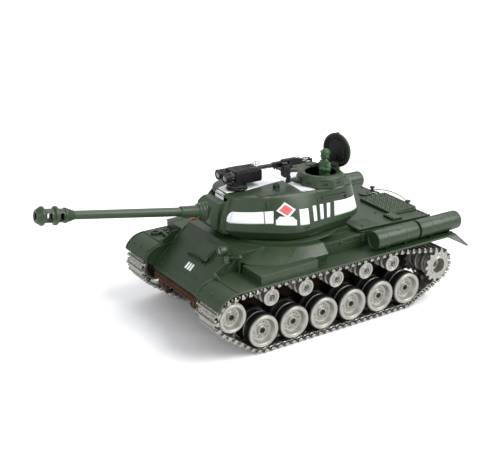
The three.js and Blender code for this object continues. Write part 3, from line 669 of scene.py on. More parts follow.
def along(d):
    d %= cum[-1]
    lo, hi = 0, len(cum) - 1
    while hi - lo > 1:
        mid = (lo + hi) // 2
        if cum[mid] <= d:
            lo = mid
        else:
            hi = mid
    a, b = path[lo], path[(lo + 1) % len(path)]
    t = (d - cum[lo]) / max(1e-9, cum[lo + 1] - cum[lo])
    return (a[0] + (b[0] - a[0]) * t, a[1] + (b[1] - a[1]) * t)


def link_shape(horn):
    """One cast link: s along the track, y across it, t outwards, on the pin line."""
    out = []
    add = out.append
    # plate with a cut-away outline at its ends, thicker in the wheel paths
    outline = [(-3.2, 59.6), (-1.9, 58.4), (1.9, 58.4), (3.2, 59.6), (3.2, 64), (2.4, 64.4), (2.4, 67.6), (3.2, 68), (3.2, 72), (2.4, 72.4), (2.4, 75.6), (3.2, 76), (3.2, 80),
               (2.4, 80.4), (2.4, 83.6), (3.2, 84), (3.2, 88.4), (1.9, 89.6), (-1.9, 89.6), (-3.2, 88.4), (-3.2, 59.6)]
    outline = outline[:-1]
    add((prism(outline, -1.3, 1.0, "xy"), 0))
    # ground bar with sloping sides, and the two low ribs beside it
    def bar(s0, w0, w1, y0, y1, t0, t1, chamf=1.0):
        v = [(s0 - w0, y0, t0), (s0 + w0, y0, t0), (s0 + w0, y1, t0), (s0 - w0, y1, t0), (s0 - w1, y0 + chamf, t1), (s0 + w1, y0 + chamf, t1), (s0 + w1, y1 - chamf, t1), (s0 - w1, y1 - chamf, t1)]
        return v, [(0, 3, 2, 1), (4, 5, 6, 7), (0, 1, 5, 4), (1, 2, 6, 5), (2, 3, 7, 6), (3, 0, 4, 7)]
    add((bar(0.2, 1.2, 0.7, 55.0, 93.2, 0.9, 2.9), 0))
    for y0, y1 in ((60, 66), (70, 78), (82, 88)):
        add((bar(-2.3, 0.6, 0.35, y0, y1, 0.9, 1.9, 0.5), 0))
        add((bar(2.5, 0.6, 0.35, y0, y1, 0.9, 1.9, 0.5), 0))
    # edge lugs outside the teeth
    for y0, y1 in ((54.2, 55.7), (92.5, 93.9)):
        add((prism([(-2.1, -0.9), (-1.3, -1.5), (1.5, -1.5), (2.2, -0.7), (1.9, 0.8), (-1.7, 1.0)], y0, y1, "xz"), 0))
    for y0, y1 in ((55.5, 58.8), (89.2, 92.6)):
        add((box(-1.2, 1.2, y0, y1, -1.0, 0.7), 0))
    if horn:
        for y0 in (72.6,):
            v = [(-2.4, y0, -1.2), (2.4, y0, -1.2), (2.4, y0 + 5.0, -1.2), (-2.4, y0 + 5.0, -1.2), (-0.7, y0 + 1.7, -6.3), (0.7, y0 + 1.7, -6.3), (0.7, y0 + 3.3, -6.3), (-0.7, y0 + 3.3, -6.3)]
            add(((v, [(0, 1, 2, 3), (4, 7, 6, 5), (0, 4, 5, 1), (1, 5, 6, 2), (2, 6, 7, 3), (3, 7, 4, 0)]), 0))
    return out


def pin_shape():
    out = []
    y = 59.8
    for k in range(7):
        out.append((lathe([(0, y), (1.35, y), (1.5, y + 0.25), (1.5, y + 3.65), (1.35, y + 3.9), (0, y + 3.9)], 10), 0))
        y += 4.15
    out.append((lathe([(0, 55.2), (0.75, 55.2), (0.85, 55.6), (0.85, 92.6), (0.75, 93.0), (0, 93.0)], 8), 1))
    return out


for s, side in ((1, "left"), (-1, "right")):
    P = Part(f"track_links_{side}", "hull", [TRACKM, GUNMETAL], replaces=f"track_{side}", slot="track_metal")
    S = Matrix.Diagonal((1, s, 1, 1))
    shapes = [link_shape(False), link_shape(True)]
    pins = pin_shape()
    d = cum[-1] / LINKS
    for k in range(LINKS):
        a, b = along(k * d + 1.9), along((k + 1) * d + 1.9)
        mx, mz = (a[0] + b[0]) / 2, (a[1] + b[1]) / 2
        tx, tz = b[0] - a[0], b[1] - a[1]
        L = math.hypot(tx, tz)
        tx, tz = tx / L, tz / L
        nx, nz = tz, -tx                      # outwards, the path runs anticlockwise seen from the left
        wob = 0.12 * math.sin(k * 12.9898) 
        M = Matrix(((tx, 0, nx, mx + nx * wob), (0, 1, 0, 0), (tz, 0, nz, mz + nz * wob), (0, 0, 0, 1)))
        for vf, m in shapes[k % 2]:
            P.add(vf, S @ M, m)
        Mp = Matrix(((tx, 0, nx, a[0]), (0, 1, 0, 0), (tz, 0, nz, a[1]), (0, 0, 0, 1)))
        for vf, m in pins:
            P.add(vf, S @ Mp, m)
    P.done()


# ---------------------------------------------------------------- hull
lower = skin("lower_hull", "hull", [BROWN], 0.35)
for side in ("left", "right"):
    for i in range(1, 7):
        skin(f"swing_arm_{side}_{i}", f"arm_{side}_{i}", [BROWN], 0.25, name=f"swing_arm_look_{side}_{i}")

upper = skin("upper_hull", "hull", [GREEN], 0.3)
deck = skin("engine_deck", "hull", [GREEN], 0.3)
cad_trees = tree_of(upper, deck)

# front: spare ribbed bar across the lower nose, tow hooks with their pins and shackles
P = Part("nose_ribbed_bar", "hull", [RUST], bevel=0.18)
P.add(prism([(41.2, 50.0), (44.6, 48.6), (44.9, 46.2), (41.0, 45.2), (38.8, 46.8)], -48, 48, "xz"))
P.add(prism([(38.6, 46.0), (41.4, 45.0), (38.6, 41.0), (36.6, 42.0)], -47, 47, "xz"))
for k in range(33):
    y = -47.2 + k * 2.95
    P.add(prism([(41.6, 51.0), (45.4, 49.2), (46.2, 47.2), (45.6, 44.8), (43.6, 44.2), (43.2, 48.0)], y - 0.55, y + 0.55, "xz"))
P.add(tube([(46.0, y, 44.6 + 0.4 * math.sin(y * 0.6)) for y in [-47 + 1.6 * i for i in range(59)]], 0.8, 8))
P.done()
P = Part("tow_hooks", "hull", [RUST], bevel=0.25)
for yc in (-33, 33):
    for dy in (-1, 1):
        P.add(prism([(33, 43.0), (41, 47.5), (46.6, 46.2), (48.2, 42.6), (46.6, 38.6), (43.6, 37.2), (41.4, 38.8), (42.4, 41.2), (44.4, 41.0), (44.6, 43.4), (41.8, 44.2), (36, 40.0)], yc + dy * 2.6 - 0.8, yc + dy * 2.6 + 0.8, "xz"))
    P.add(lathe([(0, yc - 4.2), (1.7, yc - 4.2), (1.7, yc - 3.6), (1.3, yc - 3.5), (1.3, yc + 3.5), (1.7, yc + 3.6), (1.7, yc + 4.2), (0, yc + 4.2)], 16), T(45.4, 0, 42.4))
    P.add(prism([(25, 28.4), (27.6, 26.6), (37.6, 42.2), (35.4, 43.6)], yc - 2.2, yc + 2.2, "xz"))
    P.add(prism([(35, 37.2), (40.8, 35.0), (42.4, 31.0), (40.2, 27.6), (36.6, 28.0), (36.2, 30.4), (38.6, 31.4), (38.0, 33.2), (34.4, 33.2)], yc - 1.6, yc + 1.6, "xz"))
P.done()

# nose plate: driver's visor, grab handle, weld beads, number bars
u = Vector((-0.727, 0, 0.687))        # up the slope
nrm = Vector((0.687, 0, 0.727))
O = Vector((44.2, 0, 53.2))
SL = Matrix(((u.x, 0, nrm.x, O.x), (0, 1, 0, 0), (u.z, 0, nrm.z, O.z), (0, 0, 0, 1)))   # (up the slope, y, off the plate)
P = Part("visor_block", "hull", [GREEN, SHADE_FILL], bevel=0.45)
P.add(prism([(34.0, 0.0), (52.5, 0.0), (52.5, 1.2), (51.4, 3.2), (36.6, 3.8), (34.0, 2.4)], -6.4, 18.4, "xz"), SL)
# dark slits on the visor block: painted shade for the vision openings
P.add(box(35.2, 37.8, 18.2, 18.75, 1.0, 3.2), SL, 1)
P.add(box(37.8, 50.0, 18.3, 18.7, 2.0, 2.9), SL, 1)
P.done()
P = Part("visor_lid", "hull", [GREEN], bevel=0.3)
P.add(prism([(37.6, 3.2), (51.0, 2.6), (51.0, 3.9), (37.6, 4.6)], -5.2, 17.2, "xz"), SL)
P.add(box(33.0, 34.6, -5.0, 17.0, -0.2, 2.6), SL)
for y in (-3.5, 6, 15.5):
    P.add(lathe([(0, y - 1.2), (0.8, y - 1.2), (0.8, y + 1.2), (0, y + 1.2)], 12), SL @ T(51.6, 0, 3.4))
P.done()
P = Part("nose_handle", "hull", [BLACK, GREEN_DARK])
pts = [(30.6, -14.6, 0), (30.6, -14.6, 2.0), (31.0, -13.6, 3.2), (31.8, -8, 3.8), (32.0, 0, 4.0), (31.6, 8, 3.8), (31.0, 13.6, 3.2), (30.8, 14.8, 2.0), (30.8, 14.8, 0)]
P.add(tube(pts, 0.95, 10), SL)
for y in (-14.6, 14.8):
    P.add(lathe([(0, -0.2), (2.0, -0.2), (2.0, 0.5), (1.6, 0.8), (0, 0.8)], 20, "z"), SL @ T(30.7, y, 0), 1)
P.done()
P = Part("nose_weld_beads", "hull", [GREEN])
P.add(tube([(13.6 + 0.1 * math.sin(i * 1.7), -25 + i * 0.5, 0.15) for i in range(84)], lambda t: 0.75 + 0.12 * math.sin(t * 240), 8), SL)
P.add(tube([(0.6, -52 + i * 0.6, 0.0) for i in range(174)], lambda t: 0.55 + 0.1 * math.sin(t * 420), 8), SL)
for s in (-1, 1):
    P.add(tube([(3 + i * 0.6, s * 51.9, 0.2) for i in range(88)], lambda t: 0.55 + 0.1 * math.sin(t * 260), 8), SL)
P.add(ell(tuple(SL @ Vector((13.4, 17.6, 0.2))), 1.1, 1.4, 1.1))
P.done()
P = Part("number_bars_nose", "hull", [WHITE])
for y in (-6.3, -1.9, 2.5):
    P.add(box(16.6, 24.4, y - 1.35, y + 1.35, -0.2, 0.16), SL)
P.done()

# lighter joint strip along the bottom of the nose plate
P = Part("nose_lower_strip", "hull", [GREEN], bevel=0.2)
P.add(box(-1.2, 2.4, -51.6, 51.6, -0.6, 0.55), SL)
P.done()

# mudguards: rolled edges, joint ribs, rivets and gussets
NOSE = [(32.85, 75.4), (37, 74.9), (41, 74.0), (44.6, 72.5), (48, 70.2), (50.6, 67.8), (52.5, 65.5), (53.8, 63.0), (54.6, 60.9)]
P = Part("mudguard_edges", "hull", [GREEN, GREEN_DARK], bevel=0.12)
for s in (-1, 1):
    M = Matrix.Diagonal((1, s, 1, 1))
    for y in (96.6, 54.4):
        P.add(tube([(x, y, z + 0.15) for x, z in NOSE], 0.65, 8), M)
    P.add(tube([(54.5, 54.4 + i * 1.5, 60.9) for i in range(29)], 0.7, 8), M)
    P.add(tube([(32.4, 52.5 + i * 1.5, 75.65) for i in range(30)], 0.8, 8), M)
    P.add(tube([(x, 96.7, 75.5) for x in range(-248, 33, 4)], 0.55, 8), M)
    # down-turned edge of the fender
    P.add(prism([(32, 75.2), (32, 74.2), (-247, 74.2), (-247, 75.2)], 96.3, 96.95, "xz"), M)
    for y, x, z in ((58.4, 48.3, 69.9), (73.4, 48.3, 69.9), (88.0, 48.3, 69.9)):
        P.add(lathe([(0, 0), (1.75, 0), (1.7, 0.45), (1.35, 0.75), (1.05, 0.5), (0.6, 0.45), (0, 0.5)], 20, "z"), M @ T(x, y, z) @ R("Y", 40))
    # cheek plate that closes the mudguard towards the nose
    P.add(prism([(33.5, 75.2), (37, 74.7), (41, 73.8), (44.6, 72.3), (48, 70.0), (50.6, 67.6), (52.3, 65.3), (53.6, 62.8), (54.4, 60.9), (49.0, 56.6), (44.4, 53.4), (22.0, 73.6), (20.5, 75.2)], 52.7, 53.6, "xz"), M, 0)
    for x, y in ((20, 92), (-75, 94.6), (-110, 94.6), (-135, 94.6)):
        P.add(rivet(0.8, 0.5), M @ T(x, y, 75.5))
    # gusset between mudguard and nose
    P.add(prism([(33.2, 75.0), (33.2, 79.8), (20.0, 88.0), (14.0, 88.0), (19.0, 76.0)], 52.3, 53.4, "xz"), M, 0)
    P.add(prism([(53.0, 75.2), (53.0, 81.5), (56.0, 79.5), (66.0, 75.2)], 31.6, 33.0, "yz"), M, 0)
P.done()

# stowage: fender bins with lids, straps and hinges; tool box beside the bulge
P = Part("fender_bin_lids", "hull", [GREEN, GREEN_DARK], bevel=0.22)
for s in (-1, 1):
    M = Matrix.Diagonal((1, s, 1, 1))
    P.add(prism([(5.0, 83.6), (5.0, 85.0), (-63.6, 86.7), (-63.6, 85.3)], 84.3, 94.0, "xz"), M)
    P.add(prism([(4.9, 76.0), (4.9, 76.9), (-63.5, 76.9), (-63.5, 76.0)], 93.3, 93.9, "xz"), M)
    for x in (-8, -48):
        z = 84.9 + (5 - x) * 0.0245
        P.add(box(x - 1.6, x + 1.6, 93.4, 94.1, z - 2.6, z - 0.4), M, 1)
    for y, z in ((70, 82), (90, 82), (90, 78), (70, 78)):
        P.add(rivet(0.9, 0.6), M @ T(4.5, y, z) @ R("Y", 90))
P.done()
P = Part("side_tool_boxes", "hull", [GREEN, GREEN_DARK, SHADE_FILL], bevel=0.25)
for s in (-1, 1):
    M = Matrix.Diagonal((1, s, 1, 1))
    P.add(prism([(-84.6, 85.6), (-84.6, 89.4), (-139.2, 89.4), (-139.2, 85.6)], 66.0, 68.7, "xz"), M)
    P.add(box(-139.0, -85.0, 67.6, 68.5, 75.6, 84.9), M)
    # dark strip under the lid: painted shade in the gap between lid and box
    P.add(box(-139.4, -84.8, 67.5, 68.1, 84.7, 85.8), M, 2)
    for x in (-83.2, -140.2):
        P.add(box(x - 1.3, x + 1.3, 67.6, 69.8, 82.0, 90.4), M, 1)
        P.add(lathe([(0, 81.4), (0.95, 81.4), (0.95, 90.6), (0, 90.6)], 12, "z"), M @ T(x, 69.9, 0), 1)
        P.add(box(x - 1.0, x + 1.0, 67.6, 69.2, 75.6, 81.4), M, 1)
        P.add(lathe([(0, -1.4), (0.7, -1.4), (0.7, 1.4), (0, 1.4)], 10, "x"), M @ T(x, 70.4, 83.0), 1)
    P.add(box(-112.6, -110.4, 68.4, 69.5, 83.8, 87.2), M, 1)
    P.add(lathe([(0, -113), (0.6, -113), (0.6, -110), (0, -110)], 10, "x"), M @ T(0, 69.6, 87.2), 1)
P.done()

# bulge: bead where the turret seat meets the side plates, and its lower fillet
P = Part("turret_seat_bead", "hull", [GREEN])
for s in (-1, 1):
    M = Matrix.Diagonal((1, s, 1, 1))
    P.add(tube([(-81 + 75.0 * math.cos(a), 75.0 * math.sin(a), 94.5) for a in [rad(d) for d in range(24, 92, 2)]], 0.35, 8), M)
P.add(ringlathe([(53.2, 93.8), (64.6, 93.8), (65.2, 94.2), (65.2, 95.1), (64.6, 95.5), (53.2, 95.5)], 96, "z"), T(-81, 0, 0))
P.done()

# headlamp with its glass, ribs and wire; horn and its rod and bell
P = Part("headlamp_look", "hull", [GREEN, LENS, GREEN_DARK, GREEN_DARK], replaces="headlamp", slot="hull_paint")
P.add(lathe([(0, 8.2), (2.2, 8.3), (4.2, 9.3), (5.2, 11.2), (5.5, 13.6), (5.5, 16.0), (5.9, 16.2), (5.9, 17.4), (5.3, 17.6), (5.0, 17.0), (0, 16.4)], 40, "x"), T(0, 37.5, 94.5))
P.add(lathe([(0, 16.8), (3.0, 16.9), (5.0, 16.7), (5.0, 17.0), (3.4, 17.7), (1.6, 18.0), (0, 18.1)], 40, "x"), T(0, 37.5, 94.5), 1)
for k in range(-3, 4):
    w = math.sqrt(max(0, 4.9 ** 2 - (k * 1.35) ** 2))
    P.add(box(17.3, 18.15, 37.5 - w, 37.5 + w, 94.5 + k * 1.35 - 0.17, 94.5 + k * 1.35 + 0.17), None, 2)
P.add(lathe([(0, 84), (2.6, 84), (2.6, 85.2), (1.3, 86), (1.1, 90), (0, 90)], 20, "z"), T(13.0, 37.5, 0), 0)
P.add(tube([(9, 37.5, 92), (6, 39, 88.5), (4, 41, 87.6)], 0.5, 8), None, 3)
P.done()
P = Part("horn", "hull", [GREEN, GREEN_DARK])
P.add(lathe([(0, 12.6), (3.8, 12.4), (4.8, 12.9), (5.0, 13.7), (4.5, 14.3), (3.6, 14.1), (0, 14.5)], 40, "x"), T(0, 44.6, 87.0), 0)
P.add(lathe([(0, 2), (1.6, 2), (2.4, 3.0), (2.2, 12.8), (0, 12.8)], 24, "x"), T(0, 44.6, 87.0), 0)
P.add(tube([(11.2, 45.6, 88.0), (9.0, 50.4, 90.4), (6.6, 55.4, 92.0)], 0.8, 10), None, 0)
P.add(lathe([(0, -2.6), (1.6, -2.4), (2.5, -1.2), (2.6, 0.2), (2.2, 1.8), (1.2, 2.6), (0, 2.8)], 24, "z"), T(5.4, 56.4, 91.8) @ R("X", -50), 0)
P.add(lathe([(0, 75.4), (1.7, 75.4), (1.2, 78), (0.9, 91.5), (0, 91.5)], 16, "z"), T(5.4, 56.4, 0), 1)
P.done()

# right fender: tow shackles, saw and stowage
P = Part("right_fender_fittings", "hull", [GREEN, SILVER, ORANGE, GREEN_DARK, BLACK], bevel=0.15)
for cx in (14, 24):
    ring = [(cx + 4.4 * math.cos(a), -81.5 + (5.0 if cx == 14 else 4.2) * math.sin(a) + (0 if cx == 14 else -3), 76.9) for a in [2 * PI * i / 20 for i in range(20)]]
    P.add(tube(ring, 1.3, 8, closed=True), None, 0)
P.add(box(16, 22, -84.6, -78.6, 75.6, 78.4), None, 3)
P.add(box(17.5, 20.5, -75.0, -66.0, 75.6, 78.4), None, 0)
P.add(tube([(19, -64 - 0 * i, 77.2) for i in (0, 1)] + [(19, -60, 77.2)], 1.5, 10), None, 3)
# saw blade along the bin with its grip
blade = [(-20, 86.4), (-60, 87.2), (-60, 90.4), (-26, 89.6), (-20, 88.6)]
P.add(prism(blade, -70.4, -69.8, "xz"), None, 1)
P.add(prism([(-21, 86.4), (-13.5, 86.0), (-12, 87.6), (-13.5, 89.8), (-21, 89.4)], -71.6, -68.8, "xz"), None, 2)
P.add(box(-40, -34, -72.5, -67.5, 85.4, 88.4), None, 4)
P.done()
P = Part("fender_brackets", "hull", [GREEN], bevel=0.2)
for s in (-1, 1):
    M = Matrix.Diagonal((1, s, 1, 1))
    for x in (-69, -238):
        P.add(prism([(66.0, 75.2), (66.0, 84.0), (69.0, 83.0), (82.0, 76.6), (82.0, 75.2)], x - 0.6, x + 0.6, "yz"), M)
    # rear flap: folded rim and stiffening bars
    P.add(tube([(-268.2, 55 + i * 1.5, 57.5) for i in range(28)], 0.8, 8), M)
    P.add(tube([(-248.5, 55 + i * 1.5, 75.2) for i in range(28)], 0.7, 8), M)
    for y in (64, 88):
        P.add(prism([(-249, 75.3), (-249.6, 76.1), (-268.2, 58.9), (-267.6, 58.2)], y - 0.6, y + 0.6, "xz"), M)
P.done()

# fuel drums: pressed caps, straps with buckles, fillers
for s, side in ((1, "left"), (-1, "right")):
    P = Part(f"fuel_drums_look_{side}", "hull", [GREEN, GREEN_DARK, SHADE_FILL], X=HULL @ T(0, s * 83.6, 86.4), replaces=f"fuel_drums_{side}", slot="hull_paint", ang=30)
    def drum(x0, x1):
        # x0 is the front end
        L = x0 - x1
        pr = [(0, x0 - 1.5), (8.4, x0 - 1.4), (8.9, x0 - 0.2), (9.4, x0), (10.0, x0 - 0.2), (10.2, x0 - 0.7)]
        pr += [(10.2, x1 + 3.2), (9.9, x1 + 1.6), (9.0, x1 + 0.5), (7.6, x1), (0, x1 - 0.1)]
        return pr
    P.add(lathe(drum(-142.5, -200.2), 56, "x"), None, 0)
    P.add(lathe(drum(-201.4, -260.2), 56, "x"), None, 0)
    # dark disc between the two drums: painted shade in the gap where they meet
    P.add(lathe([(0, -201.9), (9.3, -201.9), (9.3, -199.7), (0, -199.7)], 40, "x"), None, 2)
    for x in (-156, -181, -218, -243):
        P.add(ringlathe([(10.1, x - 0.55), (10.42, x - 0.4), (10.42, x + 0.4), (10.1, x + 0.55)], 56, "x"), None, 0)
        P.add(prism([(-6.5, -11), (6.5, -11), (9.2, -4.6), (-9.2, -4.6)], x - 0.8, x + 0.8, "yz"), None, 1)
    for x in (-172, -232):
        P.add(lathe([(0, 9.9), (1.3, 9.9), (1.3, 10.5), (0.9, 10.8), (0, 10.9)], 20, "z"), R("X", -38 * s) @ T(x, 0, 0), 1)
    P.done()


# ---------------------------------------------------------------- rear deck
def dz(x, y=0.0):
    return 91.95 + (x + 134.5) * 0.0447 + 1.25


P = Part("deck_panels", "hull", [GREEN, SHADE_FILL, GREEN_DARK], bevel=0.2)
DS = -0.0362                                    # slope of the deck's top
def dtop(x):
    return 93.2 + (x + 138) * 0.03547
Dk = lambda x, y: T(x, y, dtop(x)) @ R("Y", -2.03)
P.add(box(-1.2, 1.2, -64, 64, -0.3, 0.55), Dk(-139.6, 0))
P.add(prism([(-139, dtop(-139) + 0.1), (-239, dtop(-239) + 0.1), (-239, dtop(-239) + 0.75), (-139, dtop(-139) + 0.75)], 63.6, 65.2, "xz"))
P.add(prism([(-139, dtop(-139) + 0.1), (-239, dtop(-239) + 0.1), (-239, dtop(-239) + 0.75), (-139, dtop(-139) + 0.75)], -65.2, -63.6, "xz"))
# access panel frames
P.add(box(-10, 10, -26, 6, 0, 0.8), Dk(-166, -14))
P.add(box(-8.6, 8.6, -24.6, 4.6, 0.6, 1.1), Dk(-166, -14))
for x, y in ((-152, -34), (-152, 6), (-180, -34), (-180, 6), (-150, 30), (-190, 30), (-196, -42), (-150, -50), (-236, -50), (-150, 56), (-236, 56), (-236, 50)):
    P.add(bolt(1.35, 1.0), Dk(x, y), 2)
P.done()

# perforated cooling patch by the left edge
P = Part("perforated_patch", "hull", [GREEN_DARK, GREEN_DARK])
for i in range(16):
    for j in range(5):
        for k, sx in enumerate((-1, 1)):
            x, y = -148.5 - i * 1.3, 41.0 + j * 4.6 + 0.55 * sx
            P.add(box(-0.42, 0.42, -1.15 + 0.0, 0.75, -0.1, 0.14), Dk(x, y + 1.2 * sx))
P.add(box(-11.4, 11.4, -12.6, 12.6, -0.2, 0.06), Dk(-158.2, 50.8), 1)
P.done()

# air outlet: raised frame with woven mesh
c00, c10, c11, c01 = Vector((-202.0, -10.5, 93.4)), Vector((-239.0, -12.0, 92.6)), Vector((-237.0, 42.5, 92.5)), Vector((-200.0, 44.0, 93.3))
def outlet(s, t, h=0.0):
    a = c00.lerp(c10, s)
    b = c01.lerp(c11, s)
    p = a.lerp(b, t)
    return Vector((p.x, p.y, p.z + h))
P = Part("air_outlet_frame", "hull", [GREEN, SHADE_FILL], bevel=0.18)
def railbar(a, b, w, h0, h1):
    d = (b - a).normalized()
    sd = Vector((0, 0, 1)).cross(d).normalized()
    v = []
    for p in (a, b):
        for k in (-w, w):
            for h in (h0, h1):
                q = p + sd * k + Vector((0, 0, h))
                v.append(tuple(q))
    return v, [(0, 1, 3, 2), (4, 6, 7, 5), (0, 4, 5, 1), (2, 3, 7, 6), (0, 2, 6, 4), (1, 5, 7, 3)]
for a, b in ((outlet(0, 0), outlet(1, 0)), (outlet(1, 0), outlet(1, 1)), (outlet(1, 1), outlet(0, 1)), (outlet(0, 1), outlet(0, 0))):
    P.add(railbar(a, b, 0.9, -4.2, 0.9))
# dark sheet under the mesh: painted shade for the opening below the grille
P.add(([tuple(outlet(s, t, -0.5)) for s, t in ((0, 0), (1, 0), (1, 1), (0, 1))] + [tuple(outlet(s, t, -1.0)) for s, t in ((0, 0), (1, 0), (1, 1), (0, 1))], [(0, 1, 2, 3), (4, 7, 6, 5), (0, 4, 5, 1), (1, 5, 6, 2), (2, 6, 7, 3), (3, 7, 4, 0)]), None, 1)
P.done()
P = Part("air_outlet_mesh", "hull", [MESHM])
for i in range(1, 11):
    P.add(tube([outlet(i / 11, t / 16, 0.35 + 0.14 * (1 if (t + i) % 2 else -1)) for t in range(17)], 0.55, 6))
for j in range(1, 16):
    P.add(tube([outlet(s / 11, j / 16, 0.35 + 0.14 * (-1 if (s + j) % 2 else 1)) for s in range(12)], 0.55, 6))
P.done()
P = Part("outlet_end_box", "hull", [GREEN], bevel=0.4)
P.add(prism([(-189, 90.5), (-189, 93.6), (-191, 94.9), (-200.5, 94.6), (-201.5, 91.0)], 45.4, 61.5, "xz"))
P.add(prism([(-202.5, 90.5), (-202.5, 93.4), (-236, 92.2), (-236, 89.5)], 44.6, 45.8, "xz"))
P.done()

# round vent with its cap, tow cable on its clips
P = Part("round_vent", "hull", [BLACK, SHADE_FILL, SILVER])
M = T(-228.5, -20.4, 90.5) @ R("Y", -2)
P.add(ringlathe([(6.6, 0), (7.9, 0), (8.2, 0.6), (8.2, 1.9), (7.6, 2.3), (6.9, 2.2), (6.6, 1.4)], 48, "z"), M)
# dark disc inside the ring: painted shade for the vent's opening
P.add(lathe([(0, 0.0), (6.7, 0.0), (6.7, 0.9), (0, 0.9)], 40, "z"), M, 1)
P.add(ringlathe([(3.6, 0.6), (5.6, 0.6), (5.8, 1.2), (5.2, 1.5), (4.0, 1.5), (3.5, 1.2)], 40, "z"), M, 2)
P.done()
P = Part("tow_cable", "hull", [CABLE, GREEN_DARK])
run = [(-236.5, -30.0, 92.0), (-238.5, -24, 93.6), (-241.0, -16, 95.0), (-243.0, -4, 95.8), (-243.4, 8, 95.4), (-242.4, 18, 94.2), (-240.8, 25, 92.6)]
sm = []
for i in range(len(run) - 1):
    p0, p1, p2, p3 = (Vector(run[max(0, min(len(run) - 1, i + j))]) for j in (-1, 0, 1, 2))
    for q in range(8):
        t = q / 8
        sm.append(0.5 * ((2 * p1) + (-p0 + p2) * t + (2 * p0 - 5 * p1 + 4 * p2 - p3) * t * t + (-p0 + 3 * p1 - 3 * p2 + p3) * t ** 3))
sm.append(Vector(run[-1]))
P.add(tube(sm, 0.7, 10))
for x, y, z in ((-236.5, -31.5, 89.4), (-241.0, 26.0, 88.4)):
    P.add(lathe([(0, 0), (2.6, 0), (2.6, 2.4), (1.6, 2.8), (1.6, 4.2), (3.0, 4.6), (3.2, 5.6), (2.8, 6.4), (0, 6.7)], 20, "z"), T(x, y, z), 1)
P.done()
P = Part("tail_plate_fittings", "hull", [GREEN, GREEN_DARK, RUST], bevel=0.2)
P.add(lathe([(0, -246.5), (14.5, -246.5), (15.5, -245.5), (15.5, -243.0), (0, -243.0)], 40, "x"), T(0, 0, 64), 0)
for k in range(10):
    a = 2 * PI * k / 10
    P.add(bolt(1.1, 0.8), T(-246.4, 13 * math.cos(a), 64 + 13 * math.sin(a)) @ R("Y", -90), 1)
for s in (-1, 1):
    P.add(prism([(-241, 80), (-246, 80), (-247.5, 77.5), (-247.5, 70), (-243, 68.5), (-242, 72.0), (-244.6, 73.0), (-244.6, 76.0), (-242, 77.0)], s * 33 - 2.0, s * 33 + 2.0, "xz"), None, 0)
    P.add(prism([(-241.5, 54.5), (-246.5, 56), (-249.0, 52.5), (-248.0, 48.5), (-244.0, 47.0), (-243.0, 50)], s * 33 - 1.8, s * 33 + 1.8, "xz"), None, 2)
    P.add(box(-247.4, -242.0, s * 48 - 3, s * 48 + 3, 77.5, 83.5), None, 0)
P.done()


# ---------------------------------------------------------------- turret
girth = [(81, 0), (80.5, 10), (77.5, 18), (72, 24.5), (63.3, 33.5), (51.4, 42.5), (39.4, 51), (27.6, 58), (12.5, 62.4), (-9.5, 60), (-30, 56.5), (-45.4, 54), (-60, 50), (-70, 44), (-76, 35), (-79.5, 22), (-80.5, 0)]
roofL = [(71.5, 0), (71, 10), (69, 20), (62, 30), (46, 39.5), (36, 41.5), (25, 43.5), (14, 45), (3, 46.4), (-11, 49.6), (-30, 53), (-44, 53), (-56, 48), (-63, 40), (-67, 29), (-69, 15), (-69.5, 0)]
roofR = [(71.5, 0), (71, 10), (69, 20), (62, 30), (46, 38), (36, 40), (25, 41.5), (14, 42.5), (3, 43.5), (-11, 44), (-30, 43.5), (-44, 42), (-56, 39), (-63, 34), (-67, 25), (-69, 13), (-69.5, 0)]


def full(L, Rr):
    return [Vector((x, y, 0)) for x, y in L] + [Vector((x, -y, 0)) for x, y in Rr[1:-1][::-1]]


def mixo(t, f=1.0):
    L = [(gx + (rx - gx) * t, gy + (ry - gy) * t) for (gx, gy), (rx, ry) in zip(girth, roofL)]
    Rr = [(gx + (rx - gx) * t, gy + (ry - gy) * t) for (gx, gy), (rx, ry) in zip(girth, roofR)]
    return [Vector((v.x * f, v.y * f, 0)) for v in spline_closed(full(L, Rr), 5)]


def lowo(f, r):
    out = []
    for v in spline_closed(full(girth, girth), 5):
        q = v.length
        k = min(f, r / q)
        out.append(Vector((v.x * k, v.y * k, 0)))
    return out


def roofz(x):
    return -0.016 * x


levels = [(96.6, lowo(0.90, 66)), (96.9, lowo(0.925, 69.4)), (98.0, lowo(0.936, 70.6)), (101.0, lowo(0.958, 75.0)), (103.4, mixo(0, 0.978)), (104.6, mixo(0, 0.991)), (105.5, mixo(0, 0.999)), (106.4, mixo(0.006)), (107.6, mixo(0.022)), (109.6, mixo(0.055)),
          (112.0, mixo(0.12)), (118, mixo(0.265)), (124, mixo(0.43)), (130, mixo(0.60)), (135, mixo(0.76)), (138.2, mixo(0.87)), (140.0, mixo(0.935)), (141.2, mixo(0.975, 0.992)), (142.0, mixo(1.0, 0.975)), (142.35, mixo(1.0, 0.945))]
for f, z in ((0.80, 142.8), (0.6, 143.1), (0.4, 143.3), (0.2, 143.4)):
    levels.append((z, mixo(1.0, f)))
P = Part("turret_casting", "turret", [GREEN_CAST], X=TURRET, replaces="turret_shell", slot="hull_paint", ang=38)
V, F = [], []
n = len(levels[0][1])
for z, ring in levels:
    k = max(0.0, min(1.0, (z - 136) / 6.0))
    for v in ring:
        zz = z + k * roofz(v.x) 
        V.append((v.x, v.y, zz))
for j in range(len(levels) - 1):
    for i in range(n):
        i2 = (i + 1) % n
        F.append((j * n + i, j * n + i2, (j + 1) * n + i2, (j + 1) * n + i))
V.append((0, 0, 143.45))
top = (len(levels) - 1) * n
for i in range(n):
    F.append((top + i, top + (i + 1) % n, len(V) - 1))
V.append((0, 0, 96.6))
for i in range(n):
    F.append(((i + 1) % n, i, len(V) - 1))
P.add((V, F))


